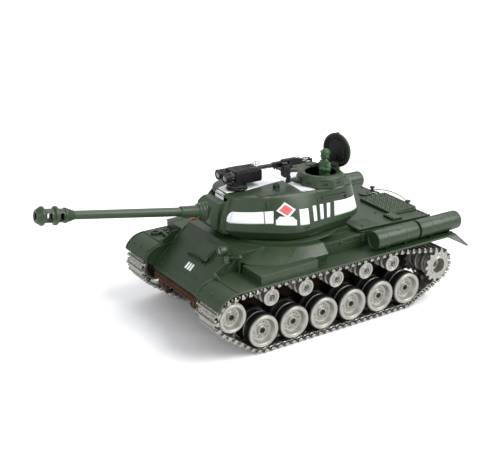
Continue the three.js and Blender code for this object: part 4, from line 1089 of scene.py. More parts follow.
def front_cut(o):
    shape = [(61, 101.6), (95, 101.6), (95, 137.2), (61, 137.2)]
    bool_cut(o, [prism(shape, -16.9, 16.9, "xz"), place(lathe([(0, 120), (16.4, 120), (16.4, 150), (0, 150)], 48, "z"), T(CUPX, CUPY, 0))], TURRET)


casting = P.done(post=front_cut)

# collar that turns in the hull, and the ring under the casting
P = Part("turret_collar", "turret", [GREEN_DARK], X=TURRET)
P.add(ringlathe([(49, 88.2), (51.6, 88.2), (51.8, 96.4), (57.5, 96.8), (57.5, 98.4), (49, 98.4)], 96, "z"))
P.done()

# raised cheeks either side of the mantlet
P = Part("mantlet_cheeks", "turret", [GREEN_CAST], X=TURRET, bevel=0.7, seg=3)
cheek = [(60, 138.6), (66.5, 139.6), (71.5, 138.0), (75.6, 133.5), (79.6, 125.0), (81.6, 116.0), (81.4, 108.0), (79.0, 102.6), (74, 100.2), (60, 100.4)]
for s in (-1, 1):
    P.add(prism(cheek, s * 16.9, s * 19.6, "xz"))
P.add(prism([(60, 137.2), (70.6, 137.2), (70.2, 138.9), (66, 140.4), (60, 140.6)], -17, 17, "xz"))
P.add(prism([(60, 101.6), (79.0, 101.6), (77, 100.0), (60, 99.6)], -17, 17, "xz"))
P.done()
# dark plate behind the mantlet opening: painted shade in the recess
P = Part("mantlet_recess_shade", "turret", [SHADE_FILL], X=TURRET)
P.add(box(60.6, 62.0, -17.2, 17.2, 101, 137.8))
P.done()

tt = tree_of(casting)


def side_ray(u, v):
    return (u, 130.0, v), (0, -1, 0)


def top_ray(u, v):
    return (u, v, 190.0), (0, 0, -1)


def quads_band(xs, zt, zb):
    return [((xs[0], zb[0]), (xs[1], zb[1]), (xs[1], zt[1]), (xs[0], zt[0]))]


# white bands and plain marks on the left side (x ahead of the ring centre, z)
laid("side_band_front", "turret", WHITE, tt, TURRET, [((73.6, 113.9), (37.4, 114.9), (35.4, 127.0), (70.6, 125.9), (26, 8)), ((76.2, 116.2), (73.6, 113.9), (70.6, 125.9), (72.6, 123.8), (4, 8))], side_ray)
laid("side_block", "turret", WHITE, tt, TURRET, [((12.2, 112.2), (0.8, 111.2), (-0.4, 126.6), (9.8, 126.8), (8, 8))], side_ray)
laid("side_block_rear", "turret", WHITE, tt, TURRET, [((-32.8, 112.4), (-71.0, 111.0), (-64.8, 126.4), (-32.6, 128.4), (24, 8))], side_ray)
laid("side_number_bars", "turret", WHITE, tt, TURRET, [((-5.4 - k * 8.6, 112.6), (-9.6 - k * 8.6, 112.5), (-10.2 - k * 8.6, 127.8), (-6.0 - k * 8.6, 127.9), (4, 8)) for k in range(3)], side_ray)


def kite(cx, cz, a, b, ax=0.0):
    """Rhombus as four quads round its centre, leaning with the wall."""
    p = [(cx + a, cz), (cx, cz + b), (cx - a, cz), (cx, cz - b)]
    out = []
    for i in range(4):
        q, r = p[i], p[(i + 1) % 4]
        m0 = ((q[0] + p[i - 1][0]) / 2, (q[1] + p[i - 1][1]) / 2)
        m1 = ((q[0] + r[0]) / 2, (q[1] + r[1]) / 2)
        out.append(((cx, cz), m0, q, m1, (6, 6)))
    return out


laid("side_mark_border", "turret", WHITE, tt, TURRET, kite(23.2, 127.2, 9.6, 7.6), side_ray, lift=0.12)
laid("side_mark", "turret", RED, tt, TURRET, kite(23.2, 127.4, 7.0, 5.3), side_ray, lift=0.24)
laid("side_mark_base", "turret", WHITE, tt, TURRET, [((35.6, 113.6), (16.0, 112.6), (15.0, 117.6), (34.6, 119.0), (10, 5)), ((33.8, 119.0), (15.6, 117.6), (18.4, 120.8), (30.6, 121.6), (10, 4))], side_ray)

# front band, rear block and number bars on the right side as well
def right_ray(u, v):
    return (u, -130.0, v), (0, 1, 0)


laid("right_band_front", "turret", WHITE, tt, TURRET, [((73.6, 113.9), (37.4, 114.9), (35.4, 127.0), (70.6, 125.9), (26, 8))], right_ray)
laid("right_block_rear", "turret", WHITE, tt, TURRET, [((-32.8, 112.4), (-71.0, 111.0), (-64.8, 126.4), (-32.6, 128.4), (24, 8))], right_ray)
laid("right_number_bars", "turret", WHITE, tt, TURRET, [((-5.4 - k * 8.6, 112.6), (-9.6 - k * 8.6, 112.5), (-10.2 - k * 8.6, 127.8), (-6.0 - k * 8.6, 127.9), (4, 8)) for k in range(3)], right_ray)

# white cross on the roof: long band and cross band
laid("roof_band_long", "turret", WHITE, tt, TURRET, [((71.2, 8.6), (48.0, 14.6), (48.0, -14.6), (71.2, -8.8), (8, 8)), ((48.0, 14.6), (2.0, 8.6), (2.0, -14.6), (48.0, -14.6), (16, 8)), ((2.0, 8.6), (-66.0, 8.6), (-66.0, -13.4), (2.0, -14.6), (24, 8))], top_ray)
laid("roof_band_cross", "turret", WHITE, tt, TURRET, [((2.0, 45.8), (-13.0, 48.6), (-13.0, 8.6), (2.0, 8.6), (6, 16)), ((34.0, -14.6), (-13.0, -14.6), (-13.0, -43.0), (26.0, -41.0), (12, 14))], top_ray)
laid("nose_band", "turret", WHITE, tt, TURRET, [((74.5, 8.8), (71.2, 8.6), (71.2, -8.8), (74.5, -8.8), (3, 8))], top_ray)

# roof plate with its seam, periscope, vents, brackets and rails
P = Part("roof_plate", "turret", [GREY_ROOF, GREEN_CAST], X=TURRET, bevel=0.2)
def rz(x):
    return 142.9 - 0.016 * x
tri = [(45.5, 14.8), (45.5, 37.6), (25, 42.0), (3.4, 45.2), (3.2, 9.4), (44.5, 13.8)]
P.add(prism([(45.5, 15.4), (45.0, 36.8), (25, 41.2), (3.4, 44.2), (3.4, 9.6)], 142.2, 142.95, "xy"), R("Y", 0.9))
P.done()
P = Part("turret_weld_seams", "turret", [GREEN_CAST], X=TURRET)
def seam_down(x_top, s):
    pts = []
    for k in range(26):
        z = 141.5 - k * 1.2
        h = tt[0][0].ray_cast(casting.matrix_world.inverted() @ (TURRET @ Vector((x_top + k * 0.06, s * 130, z))), (casting.matrix_world.inverted().to_3x3() @ (TURRET.to_3x3() @ Vector((0, -s, 0)))).normalized())
        if h[0] is not None:
            pts.append(TURRET.inverted() @ (casting.matrix_world @ h[0]))
    return pts
for s in (-1, 1):
    for x in (43.4, -13.6):
        q = seam_down(x, s)
        if len(q) > 4:
            P.add(tube(q, lambda t: 0.5 + 0.12 * math.sin(t * 90), 8))
q = []
for k in range(60):
    a = (45.4 - k * 1.95, 0)
    y0 = 38.0 if a[0] > 36 else 41.0 + (36 - a[0]) * 0.12
    q.append((a[0], min(y0, 52.0), 141.9 - 0.016 * a[0]))
P.add(tube(q, lambda t: 0.55 + 0.1 * math.sin(t * 260), 8))
P.done()

P = Part("roof_periscope", "turret", [GREEN_DARK, BLACK], X=TURRET, bevel=0.3)
M = T(20.5, 27.0, 142.4) @ R("Z", 8)
P.add(lathe([(0, 0), (4.0, 0), (4.0, 1.0), (3.2, 1.5), (0, 1.5)], 32, "z"), M)
P.add(prism([(-2.4, 1.2), (2.6, 1.2), (2.6, 4.0), (1.6, 5.4), (-2.0, 5.6), (-2.4, 4.4)], -2.6, 2.6, "xz"), M)
P.add(box(2.4, 3.0, -2.0, 2.0, 1.8, 4.0), M, 1)
P.add(tube([(-0.5, -3.4, 1.2), (-0.5, -3.4, 5.4), (-0.5, 0, 6.6), (-0.5, 3.4, 5.4), (-0.5, 3.4, 1.2)], 0.5, 8), M)
P.done()
P = Part("loader_hatch", "turret", [GREEN, GREEN_DARK], X=TURRET, bevel=0.25)
M = T(-30, -21, 142.9) @ R("Y", 0.9)
P.add(lathe([(0, 0), (15.4, 0), (15.6, 0.6), (15.6, 1.2), (15.0, 1.8), (13.8, 1.8), (13.4, 2.6), (12.4, 3.2), (0, 3.8)], 56, "z"), M)
P.add(box(-17.4, -12.0, -5, 5, 0, 2.8), M, 1)
P.add(lathe([(0, -6), (1.1, -6), (1.1, 6), (0, 6)], 14, "y"), M @ T(-16.6, 0, 2.4), 1)
P.add(tube([(4, -3, 3.0), (4, -3, 5.0), (4, 3, 5.0), (4, 3, 3.0)], 0.55, 8), M, 1)
P.done()
P = Part("roof_ventilator", "turret", [GREEN, GREEN_DARK], X=TURRET)
P.add(lathe([(0, 0), (6.6, 0), (6.6, 1.2), (7.4, 1.8), (7.6, 3.0), (6.6, 4.2), (3.6, 5.2), (0, 5.5)], 40, "z"), T(-60, 2, 143.2))
P.add(tube([(-64, 20, 143.0), (-64, 20, 145.6), (-64, 30, 145.6), (-64, 30, 143.0)], 0.5, 8), None, 1)
P.done()

P = Part("turret_lifting_eyes", "turret", [GREEN, GREEN_DARK], X=TURRET)
def eye(x, y, z, s, tilt):
    M = T(x, y, z) @ R("X", tilt)
    P.add(tube([(0, 0, -3.6), (0, s * 1.8, -3.2), (0, s * 2.6, -1.2), (0, s * 2.6, 1.4), (0, s * 1.6, 3.2), (0, 0, 3.6)], 0.75, 8), M)
for s in (-1, 1):
    eye(40.6, s * 41.4, 132.6, s, s * 10)
    eye(-48.0, s * (51.2 if s > 0 else 47.0), 132, s, s * 6)
    M = T(4.2, s * 60.8, 108.8)
    P.add(tube([(-2.6, 0, 0), (-2.4, s * 2.2, -0.6), (0, s * 3.0, -1.0), (2.4, s * 2.2, -0.6), (2.6, 0, 0)], 0.6, 8), M, 1)
    M = T(-58.0, s * 50.6, 107.5)
    P.add(tube([(-2.6, 0, 0), (-2.4, s * 2.2, -0.6), (0, s * 3.0, -1.0), (2.4, s * 2.2, -0.6), (2.6, 0, 0)], 0.6, 8), M, 1)
    for x, y in ((-20, 58.6), (-38, 55.8), (30, 56.4)):
        P.add(rivet(1.0, 0.6), T(x, s * y, 106.6) @ R("X", -90 * s), 0)
P.done()
# hand rail along the upper rear wall
P = Part("turret_hand_rails", "turret", [GREEN], X=TURRET)
for s in (-1, 1):
    yw = 53.9 if s > 0 else 48.0
    P.add(tube([(-18, s * (yw - 1.5), 134.6), (-18, s * (yw + 1.4), 134.4), (-46, s * (yw + 1.2), 134.4), (-46, s * (yw - 1.5), 134.6)], 0.6, 8))
P.done()

# ---------------------------------------------------------------- mantlet and gun
P = Part("mantlet_casting", "gun_mount", [GREEN_CAST, GREEN_DARK], X=GUN, bevel=0.9, seg=3, replaces="mantlet", slot="hull_paint")
P.add(prism([(6, -13), (12, -16), (20.5, -15.8), (26.4, -10), (27.8, -2), (27.8, 3), (26.6, 8.0), (21.5, 12.8), (13, 14.4), (6, 11.8)], -15.4, 15.4, "xz"))
P.add(prism([(3.5, -14), (8.5, -16.8), (12.5, -17.0), (15.0, -14.5), (15.8, -2), (15.8, 6), (13.6, 13.4), (10.5, 15.6), (3.5, 12.6)], -16.6, -14.4, "xz"))
P.add(prism([(3.5, -14), (8.5, -16.8), (12.5, -17.0), (15.0, -14.5), (15.8, -2), (15.8, 6), (13.6, 13.4), (10.5, 15.6), (3.5, 12.6)], 14.4, 16.6, "xz"))
P.add(prism([(19.5, -13.5), (24.5, -12.8), (27.2, -9), (27.6, 5.0), (25.2, 9.8), (20.5, 12.2)], -11.4, -9.6, "xz"))
P.add(prism([(19.5, -13.5), (24.5, -12.8), (27.2, -9), (27.6, 5.0), (25.2, 9.8), (20.5, 12.2)], 9.6, 11.4, "xz"))
# bore that the barrel slides in
P.done(post=lambda o: bool_cut(o, [lathe([(0, 2), (4.9, 2), (4.9, 34), (0, 34)], 48, "x")], GUN))
P = Part("mantlet_collar", "gun_mount", [GREEN, GREEN_DARK], X=GUN)
P.add(ringlathe([(4.9, 25.0), (10.4, 25.0), (10.4, 28.2), (9.6, 29.0), (9.3, 29.6), (9.3, 30.8), (8.8, 31.4), (8.2, 33.4), (7.8, 35.0), (4.9, 35.0)], 56, "x"))
P.add(ringlathe([(4.9, 34.6), (6.6, 34.6), (6.6, 36), (6.3, 36.6), (5.75, 53.4), (5.5, 54.2), (4.9, 54.5)], 56, "x"))
for k in range(8):
    a = 2 * PI * (k + 0.5) / 8
    P.add(bolt(0.9, 0.7), T(28.1, 9.0 * math.cos(a), 9.0 * math.sin(a)) @ R("Y", 90), 1)
P.add(lathe([(0, -0.2), (1.9, -0.2), (1.9, 0.8), (1.2, 1.0), (0, 1.0)], 20, "x"), T(27.4, -11.2, 4.5), 1)
P.done()

P = Part("gun_tube", "barrel", [GREEN], X=GUN, replaces="gun_barrel", slot="barrel_paint", ang=26)
P.add(lathe([(0, 8), (4.6, 8), (4.6, 30), (4.55, 60), (4.4, 120), (4.3, 167.2), (4.9, 168.6), (7.2, 175.4), (7.6, 176.2), (7.6, 177.2), (6.7, 177.8), (6.7, 183.6),
             (7.2, 184.2), (8.9, 184.6), (9.2, 185.2), (9.2, 187.0), (8.9, 187.6), (7.4, 188.2), (6.9, 188.8), (6.9, 196.6), (7.4, 197.4), (9.0, 198.2), (9.3, 199.0), (9.3, 200.2), (8.9, 201.0), (6.3, 205.2), (5.9, 205.5), (4.9, 205.5), (3.6, 204.9), (3.4, 203.8), (3.4, 176.0), (0, 176.0)], 64, "x"))


def brake_cut(o):
    cuts = []
    for x0, x1, h in ((178.6, 183.0, 3.9), (189.6, 195.8, 4.2)):
        pts = []
        for cx, cz, a0 in ((x1 - 1.4, h - 1.4, 0), (x0 + 1.4, h - 1.4, 90), (x0 + 1.4, -h + 1.4, 180), (x1 - 1.4, -h + 1.4, 270)):
            pts += [(cx + 1.4 * math.cos(rad(a0 + t)), cz + 1.4 * math.sin(rad(a0 + t))) for t in (0, 30, 60, 90)]
        cuts.append(prism(pts, -12, 12, "xz"))
    bool_cut(o, cuts, GUN)


P.done(post=brake_cut)
# dark ring and disc inside the muzzle: painted shade deep in the bore
P = Part("bore_shade", "barrel", [SHADE_FILL], X=GUN)
P.add(ringlathe([(2.5, 171), (3.38, 171), (3.38, 179), (2.5, 179)], 32, "x"))
P.add(lathe([(0, 174), (3.3, 174), (3.3, 176.4), (0, 176.4)], 32, "x"))
P.done()


# ---------------------------------------------------------------- cupola, hatch
P = Part("cupola_look", "turret", [GREEN, BLACK, GREEN_DARK], X=TURRET @ T(CUPX, CUPY, 0), bevel=0.28, replaces="cupola", slot="hull_paint")
NF = 9
a0 = rad(9)
def ngon(r, z, n=NF):
    return [(r * math.cos(a0 + 2 * PI * i / n), r * math.sin(a0 + 2 * PI * i / n), z) for i in range(n)]
# faceted band with a chamfered lip, ring shaped
rows = [ngon(24.6, 142.3), ngon(25.6, 143.3), ngon(25.2, 150.4), ngon(24.2, 151.3)]
v = [p for r in rows for p in r]
inner0, inner1 = [(17.7 * math.cos(a0 + 2 * PI * i / NF), 17.7 * math.sin(a0 + 2 * PI * i / NF), 142.3) for i in range(NF)], [(17.7 * math.cos(a0 + 2 * PI * i / NF), 17.7 * math.sin(a0 + 2 * PI * i / NF), 151.3) for i in range(NF)]
v += inner0 + inner1
f = []
for j in range(3):
    for i in range(NF):
        i2 = (i + 1) % NF
        f.append((j * NF + i, j * NF + i2, (j + 1) * NF + i2, (j + 1) * NF + i))
for i in range(NF):
    i2 = (i + 1) % NF
    f.append((3 * NF + i, 3 * NF + i2, 5 * NF + i2, 5 * NF + i))
    f.append((4 * NF + i, 4 * NF + i2, i2, i))
    f.append((5 * NF + i, 5 * NF + i2, 4 * NF + i2, 4 * NF + i))
P.add((v, f))
P.done()
P = Part("cupola_dome", "turret", [GREEN, BLACK, GREEN_DARK], X=TURRET @ T(CUPX, CUPY, 0), ang=30)
P.add(ringlathe([(16.7, 150.6), (23.9, 150.6), (24.3, 151.1), (24.1, 151.9), (23.4, 152.5), (21.6, 153.8), (21.0, 154.3), (20.3, 154.6), (17.5, 154.6), (16.9, 154.4), (16.6, 153.9), (16.6, 151)], 80, "z"))
# black sleeve lining the opening: painted shade for the dark inside the cupola
P.add(ringlathe([(16.25, 143.0), (16.58, 143.0), (16.58, 153.9), (16.25, 153.9)], 64, "z"), None, 1)
for i in range(NF):
    a = a0 + 2 * PI * (i + 0.5) / NF
    M = R("Z", math.degrees(a)) @ T(24.05, 0, 147.0)
    P.add(box(-0.5, 0.32, -3.4, 3.4, -1.1, 1.3), M, 2)
    P.add(box(0.1, 0.42, -2.8, 2.8, -0.6, 0.8), M, 1)
for i in range(12):
    a = 2 * PI * i / 12
    P.add(bolt(0.7, 0.5), R("Z", math.degrees(a)) @ T(18.9, 0, 154.5), 2)
P.done()
# machine gun bracket: arm off the cupola, post, swivel
mgp = Vector((4.6 - CUPX, 24.2 - CUPY, 0))
ba = math.degrees(math.atan2(mgp.y, mgp.x))
P = Part("gun_bracket", "turret", [BLACK, GREEN_DARK], X=TURRET @ T(CUPX, CUPY, 0) @ R("Z", ba), bevel=0.2)
Lb = mgp.length
P.add(prism([(23.4, -3.6), (26.0, -3.6), (Lb - 2, -1.9), (Lb + 2.0, -1.9), (Lb + 2.0, 1.9), (Lb - 2, 1.9), (26.0, 3.6), (23.4, 3.6)], 147.2, 150.0, "xy"), None, 1)
P.add(prism([(25, 144.0), (26.4, 144.0), (Lb - 3, 147.4), (25, 147.4)], -0.8, 0.8, "xz"), None, 1)
P.add(lathe([(0, 146.4), (2.8, 146.4), (2.8, 148.6), (2.2, 149.4), (2.0, 155.6), (2.6, 156.2), (2.6, 157.6), (1.9, 158.2), (1.9, 159.9), (0, 160.1)], 24, "z"), T(Lb, 0, 0), 0)
P.add(tube([(Lb, 2.4, 154.3), (Lb, 5.2, 154.3), (Lb, 6.0, 153.4)], 0.5, 8), None, 0)
P.done()

# hatch lid (pin on the origin, x across the lid, z away from the opening when shut)
r = 18.4
P = Part("hatch_lid", "hatch", [GREEN, HATCHIN, GREEN_DARK], X=LID, replaces="cupola_hatch", slot="hull_paint", ang=30)
Mh = T(18.6, 0, 0)
P.add(lathe([(0, 4.6), (14.0, 4.6), (14.6, 4.3), (15.0, 3.2), (15.6, 3.0), (16.2, 3.4), (16.4, 4.2), (17.2, 4.3), (17.9, 4.0), (18.3, 4.2), (18.4, 4.8), (18.4, 5.8), (18.0, 6.4), (16.4, 7.4), (14.0, 7.9), (0, 8.4)], 72, "z"), Mh, 0)
P.add(lathe([(0, 4.25), (13.4, 4.25), (13.8, 4.45), (13.8, 4.75), (0, 4.75)], 64, "z"), Mh, 1)
P.add(ringlathe([(14.4, 4.5), (14.6, 3.0), (15.4, 2.75), (16.4, 3.1), (16.6, 4.5)], 72, "z"), Mh, 1)
P.add(ringlathe([(11.6, 4.3), (11.7, 3.85), (12.5, 3.85), (12.6, 4.3)], 64, "z"), Mh, 1)
P.done()
P = Part("hatch_fittings", "hatch", [GREEN, BLACK, GREEN_DARK], X=LID, bevel=0.15)
P.add(prism([(-1.4, 0.8), (3.2, 0.8), (6.0, 4.4), (6.0, 5.6), (-1.4, 5.6)], -4.6, 4.6, "xz"), None, 0)
P.add(lathe([(0, -5), (1.4, -5), (1.4, 5), (0, 5)], 16, "y"), None, 1)
P.add(tube([(30.5, -3.4, 4.3), (30.5, -3.4, 2.0), (30.5, 3.4, 2.0), (30.5, 3.4, 4.3)], 0.55, 8), None, 1)
P.add(prism([(33.5, -1.8), (37.2, -1.8), (37.6, 0), (37.2, 1.8), (33.5, 1.8)], 4.6, 7.0, "xy"), None, 0)
P.add(box(8.0, 13.0, -1.0, 1.0, 3.3, 4.4), None, 1)
P.add(tube([(13 + 0 * i, 11.0 + 0.2 * i, 4.3 - 0.5 * i) for i in range(4)] + [(18.0, 11.4, 2.9), (20.0, 9.8, 2.8)], 0.45, 8), None, 1)
P.done()
P = Part("hatch_spring", "turret", [BLACK, GREEN], X=TURRET @ T(CUPX, CUPY, 0) @ R("Z", 14.4) @ R("Z", 180) @ T(20, 0, 153.2) @ R("Z", 180))
P.add(tube([(2.4 + 0 * t, -4.4 + t * 0.11, 0) and (1.9 * math.cos(t * 0.75), -7.6 + t * 0.045, 1.9 * math.sin(t * 0.75)) for t in range(0, 60)], 0.32, 6))
for y in (-7.9, -5.4, 5.4, 7.4):
    P.add(prism([(-1.9, -3.2), (1.9, -3.2), (1.9, 0.6), (1.0, 1.7), (-1.0, 1.7), (-1.9, 0.6)], y - 0.35, y + 0.35, "xz"), None, 1)
P.done()


# ---------------------------------------------------------------- crew figure
def blob_union(name, blobs, body, mats, X, voxel, smooth, displace=None, rep=None, assign=None, planes=None):
    bm = bmesh.new()
    for v, f in blobs:
        vs = [bm.verts.new(Vector(p)) for p in v]
        for q in f:
            try:
                bm.faces.new([vs[i] for i in q])
            except ValueError:
                pass
    bmesh.ops.recalc_face_normals(bm, faces=bm.faces)
    me = bpy.data.meshes.new(name)
    bm.to_mesh(me)
    bm.free()
    o = bpy.data.objects.new(name, me)
    bpy.context.scene.collection.objects.link(o)
    rm = o.modifiers.new("rm", "REMESH")
    rm.mode = "VOXEL"
    rm.voxel_size = voxel
    sm = o.modifiers.new("sm", "SMOOTH")
    sm.factor = 0.5
    sm.iterations = smooth
    dg = bpy.context.evaluated_depsgraph_get()
    new = bpy.data.meshes.new_from_object(o.evaluated_get(dg))
    bpy.data.objects.remove(o)
    me = new
    me.name = name
    if displace:
        for v in me.vertices:
            v.co = v.co + v.normal * displace(v.co)
    me.transform(X)
    if X.determinant() < 0:
        me.flip_normals()
    o = bpy.data.objects.new(name, me)
    bpy.context.scene.collection.objects.link(o)
    me.materials.clear()
    for m in mats:
        me.materials.append(m)
    inv = X.inverted()
    for p in me.polygons:
        p.use_smooth = True
        p.material_index = assign(inv @ p.center) if assign else 0
    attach(o, body)
    if rep:
        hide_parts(rep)
    return o


# figure axes: x ahead (where it faces), y to its left, z up, origin at the middle of the head
MAN = TURRET @ T(-37.0, 28.8, 170.8) @ R("Z", -8)


def limb(pts, r0, r1, n=14):
    k = len(pts) - 1
    return tube(pts, lambda t: r0 + (r1 - r0) * t, n)


def capsule(a, b, ra, rb):
    a, b = Vector(a), Vector(b)
    d = (b - a)
    L = d.length
    prof = [(0, -ra)] + [(ra * math.sin(PI / 2 * i / 5), -ra * math.cos(PI / 2 * i / 5)) for i in range(1, 6)] + [(rb * math.cos(PI / 2 * i / 5), L + rb * math.sin(PI / 2 * i / 5)) for i in range(0, 5)] + [(0, L + rb)]
    v, f = lathe(prof, 18, "z")
    q = d.to_track_quat("Z", "Y").to_matrix()
    return [tuple(q @ Vector(p) + a) for p in v], f


blobs = [
    # torso, shoulders, neck
    ell((-0.6, 0, -14.0), 6.2, 7.8, 7.2), ell((-0.4, 0, -21.5), 5.4, 6.8, 9.0), ell((0.0, 0, -10.8), 4.8, 7.6, 3.5), capsule((-0.5, -7.0, -10.2), (-0.5, 7.0, -10.2), 2.9, 2.9),
    capsule((-0.2, 0, -9.5), (0.1, 0, -4.6), 2.6, 2.3),
    # collar
    ell((-0.1, 0, -7.2), 3.6, 4.0, 1.3),
    # right arm reaches ahead on the rim, left arm bent at the side
    capsule((-0.4, -7.4, -11.0), (2.2, -8.8, -13.8), 2.5, 2.2), capsule((2.2, -8.8, -13.6), (11.6, -7.4, -11.9), 2.5, 2.0), ell((13.2, -7.0, -11.7), 1.9, 1.3, 1.1),
    capsule((-0.6, 7.4, -11.2), (0.4, 9.0, -14.0), 2.5, 2.2), capsule((0.4, 9.0, -14.0), (6.2, 7.0, -12.6), 2.1, 1.7), ell((7.6, 6.4, -12.2), 1.7, 1.4, 1.0),
    # cuffs
    capsule((10.8, -7.5, -12.05), (11.5, -7.4, -11.9), 2.0, 2.0), capsule((5.6, 7.2, -12.75), (6.2, 7.0, -12.6), 2.0, 2.0),
]


def folds(p):
    a = noise.noise(Vector((p.x * 0.45, p.y * 0.45, p.z * 0.9)) + Vector((3, 1, 7)))
    b = noise.noise(Vector((p.x * 0.9, p.y * 0.9, p.z * 0.5)) + Vector((11, 5, 2)))
    c = abs(noise.noise(Vector((p.x * 0.30 + p.z * 0.35, p.y * 0.38, p.z * 0.42))))
    return 0.55 * a + 0.28 * b + 0.5 * (0.25 - c)


blob_union("crew_torso", blobs, "turret", [FIG], MAN, 0.36, 2, folds, rep="crew_figure")

# head: face of plain proportions, soft padded helmet with ribs and ear pads
R1 = 5.0
skull = [ell((-0.2, 0, 0.9), 4.35, 3.75, 4.5), ell((0.9, 0, -1.6), 3.1, 3.0, 3.6), ell((1.6, 0, -3.6), 2.1, 1.9, 1.5), ell((3.1, 0, -3.9), 1.05, 1.1, 0.85)]
# brow, nose, cheeks, lips
skull += [ell((3.55, 0, 0.9), 0.75, 2.3, 0.55), capsule((3.95, 0, 0.4), (4.75, 0, -1.15), 0.36, 0.55), ell((4.35, 0.42, -1.3), 0.45, 0.36, 0.34), ell((4.35, -0.42, -1.3), 0.45, 0.36, 0.34),
          ell((3.05, 1.75, -0.9), 0.95, 0.95, 0.8), ell((3.05, -1.75, -0.9), 0.95, 0.95, 0.8), capsule((3.75, -0.75, -2.45), (3.75, 0.75, -2.45), 0.34, 0.34), capsule((3.65, -0.65, -2.95), (3.65, 0.65, -2.95), 0.36, 0.36),
          ell((3.5, 1.2, 0.05), 0.42, 0.55, 0.36), ell((3.5, -1.2, 0.05), 0.42, 0.55, 0.36)]


def face_form(p):
    d = 0.0
    for s in (-1, 1):
        q = (p - Vector((4.0, s * 1.2, 0.1)))
        d -= 0.16 * math.exp(-(q.y ** 2 / 0.5 + q.z ** 2 / 0.16 + q.x ** 2 / 0.6))
    q = p - Vector((4.1, 0, -2.7))
    d -= 0.16 * math.exp(-(q.y ** 2 / 0.7 + q.z ** 2 / 0.02 + q.x ** 2 / 0.5))
    return d


blob_union("crew_face", skull, "turret", [FIG_SKIN], MAN, 0.17, 2, face_form)
cap = [ell((-0.75, 0, 1.3), 4.85, 4.5, 4.75, 28, 18), ell((-0.6, 3.75, -1.1), 2.0, 1.15, 2.5), ell((-0.6, -3.75, -1.1), 2.0, 1.15, 2.5), ell((-2.6, 0, -2.2), 2.6, 3.4, 2.6), capsule((2.9, -2.2, 2.2), (2.9, 2.2, 2.2), 0.75, 0.75),
       capsule((0.4, 3.8, -2.6), (2.0, 1.6, -4.9), 0.5, 0.4), capsule((0.4, -3.8, -2.6), (2.0, -1.6, -4.9), 0.5, 0.4)]
for y in (-2.7, -0.95, 0.95, 2.7):
    ry = math.sqrt(max(0.1, 1 - (y / 4.5) ** 2))
    pts = [(-0.75 + (4.85 * ry + 0.15) * math.cos(a), y, 1.3 + (4.75 * ry + 0.15) * math.sin(a)) for a in [rad(12 + 7.5 * i) for i in range(24)]]
    cap.append(tube(pts, 0.55, 8))


def cap_form(p):
    return 0.07 * noise.noise(p * 1.3)


blob_union("crew_helmet", cap, "turret", [FIG], MAN, 0.2, 1, cap_form)
# collar flaps, belt with buckle, strap across the chest, goggles on the helmet
P = Part("crew_kit", "turret", [FIG, GREEN_DARK, LENS], X=MAN, bevel=0.1)
P.add(tube([(-4.6 * math.cos(a) * 1.0 - 0.6, 5.9 * math.sin(a), -20.2) for a in [2 * PI * i / 28 for i in range(28)]], 0.55, 8, closed=True))
P.add(box(3.4, 4.9, -1.2, 1.2, -21.0, -19.4), None, 1)
P.add(tube([(2.6, -4.6, -8.4), (5.0, -1.4, -11.6), (5.8, 1.8, -15.2), (4.9, 5.0, -18.6)], 0.5, 8), None, 0)
for s in (-1, 1):
    P.add(prism([(0, 0), (2.1, -0.5), (2.0, -1.7), (0.2, -1.2)], -0.2, 0.2, "xy"), T(2.4, s * 1.3, -6.9) @ R("Z", s * 55) @ R("Y", 70))
    P.add(lathe([(0, 0), (1.25, 0), (1.35, 0.35), (1.1, 0.6), (0, 0.65)], 24, "x"), T(3.25, s * 1.55, 3.55) @ R("Y", -30), 1)
    P.add(lathe([(0, 0.5), (0.95, 0.5), (0.8, 0.85), (0, 0.95)], 24, "x"), T(3.3, s * 1.55, 3.6) @ R("Y", -30), 2)
P.add(tube([(-0.75 + 5.0 * math.cos(a), 4.62 * math.sin(a), 3.0 + 0.9 * math.cos(a)) for a in [2 * PI * i / 32 for i in range(32)]], 0.34, 8, closed=True), None, 1)
P.done()

# ---------------------------------------------------------------- infrared battle unit
P = Part("infrared_unit_look", "turret", [BLACK, GUNMETAL], X=TURRET, bevel=0.32, replaces="infrared_unit", slot="black_plastic")
P.add(prism([(28, 147.4), (60.5, 147.4), (62.5, 149.4), (62.5, 160.0), (60.4, 161.8), (48, 162.2), (30, 161.4), (26.7, 158.8), (26.7, 149.2)], -8.6, 8.6, "xz"))
P.add(prism([(30, 148.4), (57, 148.4), (59, 150), (59, 159.6), (56, 161.0), (32, 160.4), (28.6, 158.0), (28.6, 150)], -11.2, 11.2, "xz"))
for k in range(10):
    x = 30.0 + k * 2.8
    for s in (-1, 1):
        P.add(prism([(s * 11.0, 148.4), (s * 12.0, 149.2), (s * 12.0, 159.8), (s * 11.0, 161.0), (s * 8, 161.8), (s * 8, 160.6)], x - 0.6, x + 0.6, "yz"))
for k in range(5):
    P.add(box(33 + k * 4.4, 35.6 + k * 4.4, -6.5, 6.5, 161.2, 162.4))
P.add(box(54.5, 61.5, -5.4, 5.4, 160.6, 162.4))
P.done()
P = Part("infrared_unit_optics", "turret", [BLACK, LENS, GUNMETAL], X=TURRET)
for s in (-1, 1):
    y = 7.2 * s
    P.add(lathe([(0, 60), (4.9, 60), (5.0, 64.6), (5.5, 65.0), (5.5, 66.0), (5.0, 66.4), (5.0, 68.6), (5.4, 69.0), (5.4, 70.4), (4.9, 70.8), (4.2, 70.6), (3.9, 69.4), (0, 69.2)], 40, "x"), T(0, y, 156.4))
    P.add(lathe([(0, 68.8), (3.9, 69.0), (3.5, 70.0), (2.2, 70.6), (0, 70.9)], 40, "x"), T(0, y, 156.4), 1)
    for k in range(8):
        a = 2 * PI * k / 8
        P.add(box(-0.9, 0.9, -0.35, 0.35, -0.35, 0.5), T(62.8, y + 5.1 * math.cos(a), 156.4 + 5.1 * math.sin(a)) @ R("X", math.degrees(a) - 90), 2)
